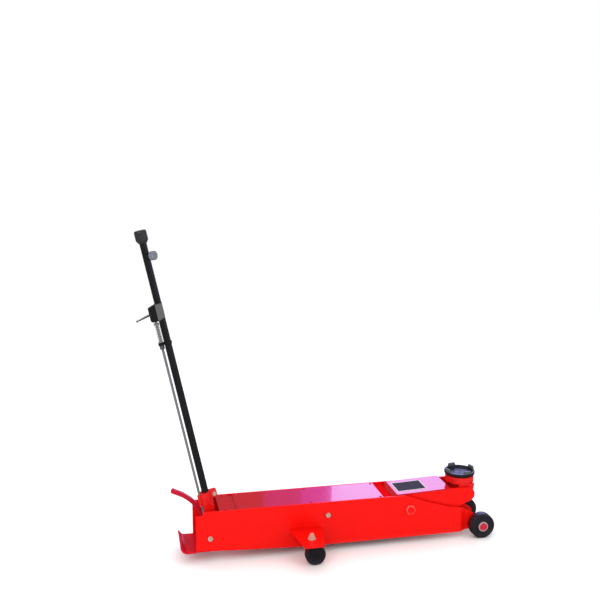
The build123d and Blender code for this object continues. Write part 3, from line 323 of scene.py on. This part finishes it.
tube_forward = (0.977, 0, 0.213)
cheek_low, cheek_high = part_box("lever_bracket")
block_coat_with_painted_reflection = finish("block_coat_with_painted_reflection", (0.006, 0.006, 0.0065), (0.011, 0.011, 0.012),
                    (0.28, 0.42), broad=25.0, fine=1600.0, bump=0.00008, dust_line=0.0001)
block_nodes, block_links = block_coat_with_painted_reflection.node_tree.nodes, block_coat_with_painted_reflection.node_tree.links
block_place = block_nodes["Texture Coordinate"].outputs["Object"]
beside = block_nodes.new("ShaderNodeSeparateXYZ")
ahead = block_nodes.new("ShaderNodeVectorMath")
ahead.operation = "DOT_PRODUCT"
ahead.inputs[1].default_value = tube_forward
front_half = block_nodes.new("ShaderNodeMath")
front_half.operation = "GREATER_THAN"
front_half.inputs[1].default_value = ((cheek_low.x + cheek_high.x) / 2 * tube_forward[0]
                                      + (cheek_low.z + cheek_high.z) / 2 * tube_forward[2])
both = block_nodes.new("ShaderNodeMath")
both.operation = "MULTIPLY"
on_cheek = block_nodes.new("ShaderNodeMapRange")
on_cheek.inputs["From Min"].default_value = cheek_low.y + 0.0006
on_cheek.inputs["From Max"].default_value = cheek_low.y + 0.0002
block_links.new(block_place, beside.inputs["Vector"])
block_links.new(beside.outputs["Y"], on_cheek.inputs["Value"])
block_links.new(block_place, ahead.inputs[0])
block_links.new(ahead.outputs["Value"], front_half.inputs[0])
block_links.new(front_half.outputs["Value"], both.inputs[0])
block_links.new(on_cheek.outputs["Result"], both.inputs[1])
# Painted reflection: the grey laid on the front of the right cheek.
paint_over(block_coat_with_painted_reflection, (0.105, 0.110, 0.108, 1), both.outputs["Value"])
dress(block_coat_with_painted_reflection, "lever_bracket")


# ---- Front rollers ----
# Solid nylon rollers: a slightly crowned tread with rounded shoulders, a flat inner face, and
# a sunk ring on the outer face crossed by shallow moulded ribs.
sharp_angle = radians(38)


def grid_mesh(name, points, close_rows, close_columns):
    """A mesh from a grid of points: each square of neighbours is a face, wrapping round where told.
    Rows that shrink to one point are merged there, and all faces are turned outwards."""
    rows, columns = points.shape[:2]
    row = np.arange(rows if close_rows else rows - 1)
    column = np.arange(columns if close_columns else columns - 1)
    i, j = np.meshgrid(row, column, indexing="ij")
    i2, j2 = (i + 1) % rows, (j + 1) % columns
    corners = [i * columns + j, i * columns + j2, i2 * columns + j2, i2 * columns + j]
    faces = np.stack(corners, -1).reshape(-1, 4)
    mesh = bpy.data.meshes.new(name)
    mesh.from_pydata(points.reshape(-1, 3).tolist(), [], faces.tolist())
    shell = bmesh.new()
    shell.from_mesh(mesh)
    bmesh.ops.remove_doubles(shell, verts=shell.verts, dist=2e-6)
    bmesh.ops.recalc_face_normals(shell, faces=shell.faces)
    shell.to_mesh(mesh)
    shell.free()
    mesh.shade_smooth()
    mesh.set_sharp_from_angle(angle=sharp_angle)
    return mesh


def turned(name, profile, origin, axis, columns, swell=None, closed=False):
    """Points at origin + along * axis + radius * (cos, sin of the angle round it); swell adds to
    the radius and the distance along, as a function of the angle."""
    profile = np.asarray(profile, float)
    axis = np.asarray(axis, float) / np.linalg.norm(axis)
    side = np.cross(axis, (0, 0, 1)) if abs(axis[2]) < 0.9 else np.cross(axis, (0, 1, 0))
    side /= np.linalg.norm(side)
    other = np.cross(axis, side)
    angle = np.linspace(0, 2 * np.pi, columns, endpoint=False)
    radius = np.repeat(profile[:, :1], columns, 1)
    along = np.repeat(profile[:, 1:2], columns, 1)
    if swell is not None:
        more_radius, more_along = swell(angle)
        radius, along = radius + more_radius, along + more_along
    points = (np.asarray(origin, float) + along[..., None] * axis
              + (radius * np.cos(angle))[..., None] * side
              + (radius * np.sin(angle))[..., None] * other)
    return grid_mesh(name, points, closed, True)


def join_meshes(name, meshes):
    """One mesh that holds all the shells."""
    whole = bmesh.new()
    for mesh in meshes:
        whole.from_mesh(mesh)
    joined = bpy.data.meshes.new(name)
    whole.to_mesh(joined)
    whole.free()
    joined.shade_smooth()
    joined.set_sharp_from_angle(angle=sharp_angle)
    return joined


def place_piece(name, mesh, material, body, slot, *nodes):
    """A finished piece: its mesh, its finish, the body that carries it and the nodes it
    stands for."""
    piece = bpy.data.objects.new(name, mesh)
    bpy.context.scene.collection.objects.link(piece)
    mesh.materials.clear()
    mesh.materials.append(material)
    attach(piece, body)
    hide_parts(*nodes)
    return piece


def wheel_ribs(rows, count, height):
    """Ribs on the sunk rows of the outer face: height times a smooth bump, count times round."""
    weight = np.array(rows)[:, None]

    def swell(angle):
        return 0.0, weight * height * np.clip(np.cos(count * angle), 0, 1) ** 3
    return swell


rib_count, rib_height = 8, 0.0022
nylon = finish("black_nylon", (0.010, 0.010, 0.014), (0.018, 0.018, 0.024), (0.28, 0.46),
               broad=50.0, fine=700.0, bump=0.0002, dust_line=0.012)
for side, sign in (("left", 1), ("right", -1)):
    low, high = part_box(f"front_wheel_{side}")
    inner = min(abs(low.y), abs(high.y))
    width = high.y - low.y
    centre_x, centre_z, rim = (low.x + high.x) / 2, (low.z + high.z) / 2, (high.z - low.z) / 2
    profile = [(0.0126, 0), (0.0126, width), (0.0235, width), (0.0262, width - 0.003),
               (0.0285, width - 0.0048), (0.047, width - 0.0048), (0.0500, width - 0.003),
               (0.0520, width - 0.0004), (rim - 0.0055, width), (rim - 0.0022, width - 0.0012),
               (rim - 0.0006, width - 0.0036), (rim - 0.0001, width - 0.008), (rim, width / 2),
               (rim - 0.0001, 0.008), (rim - 0.0006, 0.0036), (rim - 0.0022, 0.0012),
               (rim - 0.0055, 0), (0.040, 0)]
    raised = [0] * len(profile)
    raised[4:6] = [1, 1]
    mesh = turned(f"front_roller_{side}", profile, (centre_x, sign * inner, centre_z), (0, sign, 0),
                  144, wheel_ribs(raised, rib_count, rib_height), closed=True)
    place_piece(f"front_roller_{side}", mesh, nylon, f"front_wheel_{side}", "black_wheel",
                f"front_wheel_{side}")

# ---- Axle caps ----
# Pressed steel caps on the axle's ends, dished, enamelled red, with a bare rolled rim.
cap_shells = []
low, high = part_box("axle_caps")
cap_radius, cap_deep = (high.x - low.x) / 2, 0.006
for sign in (1, -1):
    cap_profile = [(0, 0.0042), (0.006, 0.0044), (0.010, 0.0036), (0.0165, 0.0036),
                   (0.0185, 0.0052), (0.0205, 0.0060), (0.0228, 0.0058), (0.0244, 0.0046),
                   (cap_radius, 0.0028), (cap_radius, 0.0004), (0.0244, 0.0), (0.0127, 0.0),
                   (0.0127, 0.003), (0, 0.003)]
    cap_middle = ((low.x + high.x) / 2, sign * (high.y - cap_deep), (low.z + high.z) / 2)
    cap_shells.append(turned("axle_cap", cap_profile, cap_middle, (0, sign, 0), 72))
rim_paint = finish("capped_rim", (0.58, 0.010, 0.034), (0.48, 0.008, 0.024), (0.2, 0.34),
                   broad=60.0, fine=900.0, bump=0.0001, coat=0.4)
rim_nodes, rim_links = rim_paint.node_tree.nodes, rim_paint.node_tree.links
reach = rim_nodes.new("ShaderNodeVectorMath")
reach.operation = "DISTANCE"
reach.inputs[1].default_value = ((low.x + high.x) / 2, 0, (low.z + high.z) / 2)
flatten = rim_nodes.new("ShaderNodeVectorMath")
flatten.operation = "MULTIPLY"
flatten.inputs[1].default_value = (1, 0, 1)
ring = rim_nodes.new("ShaderNodeMapRange")
ring.inputs["From Min"].default_value = 0.0185
ring.inputs["From Max"].default_value = 0.0200
rim_links.new(rim_nodes["Texture Coordinate"].outputs["Object"], flatten.inputs[0])
rim_links.new(flatten.outputs["Vector"], reach.inputs[0])
rim_links.new(reach.outputs["Value"], ring.inputs["Value"])
paint_over(rim_paint, (0.40, 0.27, 0.30, 1), ring.outputs["Result"])
place_piece("axle_end_caps", join_meshes("axle_end_caps", cap_shells), rim_paint, "chassis",
            "red_casting", "axle_caps")

# ---- Caster wheels ----
# Smaller moulded wheels on plain bores, with a raised hub and a shallow dish on both faces,
# and low ribs on the outer one.
rib_count, rib_height = 6, 0.0030
for side, sign in (("left", 1), ("right", -1)):
    low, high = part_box(f"caster_wheel_{side}")
    width, rim = high.y - low.y, (high.z - low.z) / 2
    middle = ((low.x + high.x) / 2, min(abs(low.y), abs(high.y)) * sign, (low.z + high.z) / 2)
    profile = [(0.0081, 0), (0.0081, width), (0.0160, width), (0.0185, width - 0.0035),
               (0.0340, width - 0.0045), (0.0380, width - 0.001), (rim - 0.0050, width),
               (rim - 0.0018, width - 0.0014), (rim - 0.0003, width - 0.0050), (rim, width / 2),
               (rim - 0.0003, 0.0050), (rim - 0.0018, 0.0014), (rim - 0.0050, 0),
               (0.0380, 0.001), (0.0340, 0.0045), (0.0185, 0.0035), (0.0160, 0)]
    raised = [0] * len(profile)
    raised[4] = 1
    mesh = turned(f"caster_roller_{side}", profile, middle, (0, sign, 0), 120,
                  wheel_ribs(raised, rib_count, rib_height), closed=True)
    place_piece(f"caster_roller_{side}", mesh, nylon, f"caster_wheel_{side}", "black_wheel",
                f"caster_wheel_{side}")


# ---- Return springs ----
# Cold-wound spring wire with closed ends, oiled: one round the pump plunger, one inside the
# cylinder that draws the ram back, and one under the collar of the lock rod.
steps_a_turn, points_round_wire = 28, 12


def coil(name, start, axis, length, radius, wire, turns):
    """The wire's centre winds round the axis; its pitch is closed in the first and last turn.
    Round each centre point stands a circle of the wire's radius, square to the winding."""
    axis = np.asarray(axis, float) / np.linalg.norm(axis)
    side = np.array((0.0, 1.0, 0.0))
    other = np.cross(axis, side)
    t = np.linspace(0, 1, int(turns * steps_a_turn) + 1)
    winding = 2 * np.pi * turns * t
    pitch_free = np.clip((t * turns - 1) / (turns - 2), 0, 1)
    closed_step = 2 * wire * (np.clip(t * turns, 0, 1) + np.clip(t * turns - (turns - 1), 0, 1))
    free = length - 2 * wire - 4 * wire
    along = wire + closed_step + free * pitch_free
    outward = np.cos(winding)[:, None] * side + np.sin(winding)[:, None] * other
    centre = np.asarray(start, float) + along[:, None] * axis + radius * outward
    around = np.linspace(0, 2 * np.pi, points_round_wire, endpoint=False)
    taper = np.ones_like(t)
    taper[[0, -1]] = 0
    ring = (np.cos(around)[None, :, None] * outward[:, None, :]
            + np.sin(around)[None, :, None] * axis[None, None, :])
    return grid_mesh(name, centre[:, None, :] + wire * taper[:, None, None] * ring, False, True)


spring_steel = finish("spring_wire", (0.52, 0.54, 0.53), (0.40, 0.42, 0.41), (0.20, 0.34),
                      broad=90.0, fine=1300.0, bump=0.00004, metal=0.5, dust_line=0.0001)
low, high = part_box("plunger_spring")
free_length = high.x - low.x
plunger_coil = place_piece(
    "plunger_return_coil",
    coil("plunger_return_coil", (low.x, 0, (low.z + high.z) / 2), (1, 0, 0),
         free_length, radius=0.0117, wire=0.0013, turns=7),
    spring_steel, "chassis", "bare_steel", "plunger_spring")
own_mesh(plunger_coil)

low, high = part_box("ram_spring")
free_length = high.x - low.x
ram_coil = place_piece(
    "ram_return_coil",
    coil("ram_return_coil", (low.x, 0, (low.z + high.z) / 2), (1, 0, 0),
         free_length, radius=0.0254, wire=0.0018, turns=16),
    spring_steel, "chassis", "bare_steel", "ram_spring")
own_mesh(ram_coil)

pivot = np.array(joints["handle_pump"]["pos_m"])
up_handle = -np.array(joints["lock_rod_slide"]["axis"])
free_length, coil_foot_up = 0.088, 0.948
coil_foot = pivot + coil_foot_up * up_handle
lock_coil = place_piece(
    "lock_rod_coil",
    coil("lock_rod_coil", coil_foot, up_handle, free_length,
         radius=0.0099, wire=0.0014, turns=11),
    spring_steel, "handle", "zinc_steel", "lock_spring")
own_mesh(lock_coil)

# ---- Saddle ----
# A dished iron casting with a black oxide skin: four lugs stand on its rim to grip the load,
# its floor is ringed with shallow grooves, and the high edges are worn bright.
low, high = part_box("saddle")
saddle_centre = ((low.x + high.x) / 2, 0, 0)
edge = (high.x - low.x) / 2
saddle_profile = [(0, 0.3110), (0.012, 0.3110), (0.014, 0.3104), (0.016, 0.3110), (0.030, 0.3110),
                  (0.032, 0.3104), (0.034, 0.3110), (0.048, 0.3110), (0.050, 0.3104),
                  (0.052, 0.3110), (0.0610, 0.3112), (0.0650, 0.3132), (0.0664, 0.3165),
                  (0.0670, 0.3200), (0.0684, 0.3210), (0.0722, 0.3210), (0.0754, 0.3210),
                  (0.0767, 0.3199), (edge, 0.3180), (edge, 0.3090), (0.0758, 0.3068),
                  (0.0680, 0.3036), (0.0600, 0.3007), (0.0200, 0.3007), (0.0200, 0.2735),
                  (0.0185, 0.2721), (0, 0.2721)]
first_lug, lug_rise = radians(12), 0.0138
lug_steepness, lug_narrowness = 26, 0.44
rim_share = np.zeros((len(saddle_profile), 1))
rim_share[13:18, 0] = (0.80, 1.0, 1.0, 1.0, 0.80)


def lugs(angle):
    """Four lugs: the rim rises by a smooth step of the cosine of four times the angle."""
    step = 1 / (1 + np.exp(-lug_steepness * (np.cos(4 * (angle - first_lug)) - lug_narrowness)))
    return 0.0, rim_share * lug_rise * step


saddle_iron = finish("saddle_iron", (0.010, 0.012, 0.016), (0.020, 0.023, 0.028), (0.20, 0.40),
                     broad=45.0, fine=800.0, bump=0.00025, metal=0.25, dust_line=0.0001)
iron_nodes, iron_links = saddle_iron.node_tree.nodes, saddle_iron.node_tree.links
height = iron_nodes.new("ShaderNodeSeparateXYZ")
worn = iron_nodes.new("ShaderNodeMapRange")
worn.inputs["From Min"].default_value = 0.3190
worn.inputs["From Max"].default_value = 0.3225
worn.inputs["To Max"].default_value = 0.28
iron_links.new(iron_nodes["Texture Coordinate"].outputs["Object"], height.inputs["Vector"])
iron_links.new(height.outputs["Z"], worn.inputs["Value"])
paint_over(saddle_iron, (0.30, 0.33, 0.36, 1), worn.outputs["Result"])
place_piece("saddle_plate",
            turned("saddle_plate", saddle_profile, saddle_centre, (0, 0, 1), 320, lugs),
            saddle_iron, "saddle", "saddle_iron", "saddle")

# ---- Release knob ----
# A moulded grip on top of the tube, fluted for the fingers and tapered where it meets the tube.
knob_foot = np.array(joints["release_turn"]["pos_m"]) + 0.0006 * up_handle
knob_profile = [(0, 0.040), (0.0061, 0.040), (0.0061, 0), (0.0176, 0), (0.0186, 0.0006),
                (0.0282, 0.0148), (0.0285, 0.0175), (0.0285, 0.030), (0.0285, 0.0470),
                (0.0281, 0.0535), (0.0262, 0.0575), (0.0235, 0.0594), (0.0200, 0.0600),
                (0, 0.0600)]
flute_count, flute_depth = 12, 0.0013
grip = np.zeros((len(knob_profile), 1))
grip[6:9, 0] = (0.5, 1, 0.5)


def flutes(angle):
    """Twelve shallow hollows: the radius falls by a power of the cosine round the grip."""
    return -grip * flute_depth * (0.5 - 0.5 * np.cos(flute_count * angle)) ** 2, 0.0


grip_plastic = finish("grip_plastic", (0.022, 0.022, 0.024), (0.034, 0.034, 0.037), (0.26, 0.40),
                      broad=70.0, fine=1500.0, bump=0.00012, dust_line=0.0001)
place_piece("release_grip", turned("release_grip", knob_profile, knob_foot, up_handle, 144, flutes),
            grip_plastic, "release_knob", "black_knob", "release_knob")

# ---- Screw knob ----
# A knurled, plated knob on a short screw near the top of the tube.
screw_out = np.array(joints["screw_knob_turn"]["axis"])
screw_root = np.array(joints["screw_knob_turn"]["pos_m"])
screw_profile = [(0, 0.0155), (0.0050, 0.0155), (0.0050, 0.0291), (0.0185, 0.0291),
                 (0.0200, 0.0296), (0.0209, 0.0310), (0.0209, 0.0330), (0.0209, 0.0480),
                 (0.0205, 0.0498), (0.0190, 0.0508), (0.0170, 0.0511), (0.0150, 0.0500),
                 (0, 0.0500)]
knurl_count, knurl_depth = 30, 0.0005
knurl = np.zeros((len(screw_profile), 1))
knurl[5:8, 0] = 1


def knurling(angle):
    """Straight knurls: the radius dips by a cosine, thirty times round the rim."""
    return -knurl * knurl_depth * (1 - np.cos(knurl_count * angle)), 0.0


plated = finish("plated_knob", (0.36, 0.38, 0.43), (0.26, 0.28, 0.32), (0.14, 0.28),
                broad=60.0, fine=1400.0, bump=0.00003, metal=0.5, dust_line=0.0001)
place_piece("knurled_screw",
            turned("knurled_screw", screw_profile, screw_root, screw_out, 240, knurling),
            plated, "screw_knob", "bright_steel", "screw_knob")


# ---- Foot pedal ----
# A bent flat bar with rounded edges, welded to a hub on the handle's pivot, with a short toe
# below that pushes the quick plunger.
def swept_bar(name, path, widths, heights, squareness, columns=32):
    """A rounded section carried along a path in the plane of x and z: a superellipse with the given
    half width along y and half height in the plane, shrinking to a point past each end."""
    path = np.asarray(path, float)
    run = np.gradient(path, axis=0)
    run /= np.linalg.norm(run, axis=1)[:, None]
    across = np.array((0.0, 1.0, 0.0))
    over = np.cross(run, across)
    around = np.linspace(0, 2 * np.pi, columns, endpoint=False)
    flat = np.sign(np.cos(around)) * np.abs(np.cos(around)) ** (2 / squareness)
    tall = np.sign(np.sin(around)) * np.abs(np.sin(around)) ** (2 / squareness)
    points = (path[:, None, :] + (np.asarray(widths)[:, None] * flat)[..., None] * across
              + (np.asarray(heights)[:, None] * tall)[..., None] * over[:, None, :])
    ends = [np.repeat(path[k][None, None, :], columns, 1) for k in (0, -1)]
    return grid_mesh(name, np.concatenate([ends[0], points, ends[1]], 0), False, True)


low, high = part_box("foot_pedal")
pedal_y = (low.y + high.y) / 2
bar_half_height, leg_half_height, leg_inset = 0.0108, 0.0043, 0.0005
bar_stations, leg_stations, leg_start = 90, 12, 0.45
tread_height, tread_pitch, tread_share, tip_length = 0.0006, 0.010, 0.28, 0.006
toe_radius, toe_gap = 0.008, 0.0006
knots = pivot[[0, 2]] + np.array([(-0.008, 0.0105), (-0.036, 0.084), (-0.061, 0.118),
                                  (-0.100, 0.153), (-0.170, 0.190)])
lengths = np.concatenate([[0], np.cumsum(np.linalg.norm(np.diff(knots, axis=0), axis=1))])
slopes = np.gradient(knots, lengths, axis=0)
fine_run = np.linspace(0, lengths[-1], bar_stations)
span = np.clip(np.searchsorted(lengths, fine_run, "right") - 1, 0, len(knots) - 2)
step = lengths[span + 1] - lengths[span]
u = (fine_run - lengths[span]) / step
from_start, from_end = 2 * u**3 - 3 * u**2 + 1, 3 * u**2 - 2 * u**3
start_pull, end_pull = u**3 - 2 * u**2 + u, u**3 - u**2
curve = (from_start[:, None] * knots[span] + start_pull[:, None] * step[:, None] * slopes[span]
         + from_end[:, None] * knots[span + 1]
         + end_pull[:, None] * step[:, None] * slopes[span + 1])
pedal_path = np.stack([curve[:, 0], np.full(len(curve), pedal_y), curve[:, 1]], -1)
from_tip = 1 - fine_run / lengths[-1]
ridges = np.clip(np.cos(2 * np.pi * fine_run / tread_pitch), 0, 1)
tread = tread_height * ridges * (from_tip < tread_share)
into_tip = np.clip(1 - (lengths[-1] - fine_run) / tip_length, 0, 1)
end_round = np.sqrt(np.clip(1 - into_tip ** 2, 0.02, 1))
toe_place = np.array([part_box("foot_plunger")[0].x - toe_gap - toe_radius, pedal_y,
                      low.z + toe_radius])
hub_middle = np.array([pivot[0], pedal_y, pivot[2]])
leg_share = np.linspace(leg_start, 1, leg_stations)
leg_path = hub_middle + leg_share[:, None] * (toe_place - hub_middle)
half = (high.y - low.y) / 2
pedal_shells = [
    swept_bar("pedal_bar", pedal_path, half * np.minimum(end_round + 0.25, 1),
              bar_half_height * end_round + tread, 4.5),
    swept_bar("pedal_leg", leg_path, np.full(leg_stations, half - leg_inset),
              np.full(leg_stations, leg_half_height), 4.5),
    turned("pedal_hub", [(0.0101, -half), (0.0195, -half), (0.0208, -half + 0.0015),
                         (0.0208, half - 0.0015), (0.0195, half), (0.0101, half)],
           hub_middle, (0, 1, 0), 72, closed=True),
    turned("pedal_toe", [(0, -half), (0.0070, -half), (0.0079, -half + 0.001),
                         (0.0079, half - 0.001), (0.0070, half), (0, half)],
           toe_place, (0, 1, 0), 48),
]
# The pedal's red is a darker, purplish copy of the jack's enamel: painted shade.
shaded_pedal_paint = finish("shaded_pedal_enamel", (0.56, 0.006, 0.032), (0.46, 0.004, 0.022), (0.14, 0.26),
                     broad=30.0, fine=600.0, bump=0.00008, coat=0.4, specular=0.3)
place_piece("quick_lift_pedal", join_meshes("quick_lift_pedal", pedal_shells), shaded_pedal_paint,
            "foot_pedal", "red_enamel", "foot_pedal")

# ---- Lock lever ----
# A forged finger lever on a cross pin in the clamp block: thin, tapered and rounded at its tip.
lever_pivot = np.array(joints["lock_lever_squeeze"]["pos_m"])
forward = np.array([up_handle[2], 0, -up_handle[0]])
droop, nose_rise = radians(14), radians(16)
lever_root, lever_length, nose_reach = 0.002, 0.0705, 0.015
neck_stations, neck_half_width, neck_half_height = 8, 0.0039, 0.0026
lever_run = -np.cos(droop) * forward - np.sin(droop) * up_handle
lever_share = np.linspace(0, 1, 40)
lever_path = lever_pivot + (lever_root + lever_length * lever_share)[:, None] * lever_run
tip_swell = 0.0010 * np.exp(-((lever_share - 0.97) / 0.05) ** 2)
lever_thin = 0.0062 - 0.0030 * lever_share + tip_swell
lever_wide = 0.0040 - 0.0006 * lever_share
nose = lever_pivot + nose_reach * (np.cos(nose_rise) * forward + np.sin(nose_rise) * up_handle)
neck_path = lever_pivot + np.linspace(0, 1, neck_stations)[:, None] * (nose - lever_pivot)
lever_shells = [
    swept_bar("lever_bar", lever_path, lever_wide, lever_thin, 2.4),
    swept_bar("lever_neck", neck_path, np.full(neck_stations, neck_half_width),
              np.full(neck_stations, neck_half_height), 3.0),
    turned("lever_nose", [(0, -0.004), (0.0046, -0.004), (0.0050, -0.0034), (0.0050, 0.0034),
                          (0.0046, 0.004), (0, 0.004)], nose, (0, 1, 0), 40),
    turned("lever_pin", [(0, -0.0199), (0.0034, -0.0199), (0.0039, -0.0193), (0.0039, 0.0193),
                         (0.0034, 0.0199), (0, 0.0199)], lever_pivot, (0, 1, 0), 40),
]
forged = finish("forged_lever", (0.46, 0.46, 0.47), (0.32, 0.32, 0.33), (0.24, 0.38),
                broad=80.0, fine=900.0, bump=0.0001, metal=1.0, dust_line=0.0001)
place_piece("finger_lever", join_meshes("finger_lever", lever_shells), forged, "lock_lever",
            "zinc_steel", "lock_lever")

# ---- Plain panel on the arm ----
# A thin dark plate stuck on the arm's lid, with a pale printed line just inside its edge.
low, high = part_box("label_plate")
panel = finish("dark_panel", (0.026, 0.022, 0.024), (0.034, 0.028, 0.030), (0.40, 0.50),
               broad=18.0, fine=500.0, bump=0.00001, specular=0.04, dust_line=0.0001)
panel_nodes, panel_links = panel.node_tree.nodes, panel.node_tree.links
centred = panel_nodes.new("ShaderNodeVectorMath")
centred.operation = "SUBTRACT"
centred.inputs[1].default_value = ((low.x + high.x) / 2, (low.y + high.y) / 2, 0)
unsigned = panel_nodes.new("ShaderNodeVectorMath")
unsigned.operation = "ABSOLUTE"
parts = panel_nodes.new("ShaderNodeSeparateXYZ")
panel_links.new(panel_nodes["Texture Coordinate"].outputs["Object"], centred.inputs[0])
panel_links.new(centred.outputs["Vector"], unsigned.inputs[0])
panel_links.new(unsigned.outputs["Vector"], parts.inputs["Vector"])
border = 0.0035
edges = []
for socket, reach_out in (("X", (high.x - low.x) / 2), ("Y", (high.y - low.y) / 2)):
    past = panel_nodes.new("ShaderNodeMath")
    past.operation = "GREATER_THAN"
    past.inputs[1].default_value = reach_out - border
    panel_links.new(parts.outputs[socket], past.inputs[0])
    edges.append(past)
either = panel_nodes.new("ShaderNodeMath")
either.operation = "MAXIMUM"
panel_links.new(edges[0].outputs["Value"], either.inputs[0])
panel_links.new(edges[1].outputs["Value"], either.inputs[1])
paint_over(panel, (0.72, 0.70, 0.70, 1), either.outputs["Value"])
dress(panel, "label_plate")
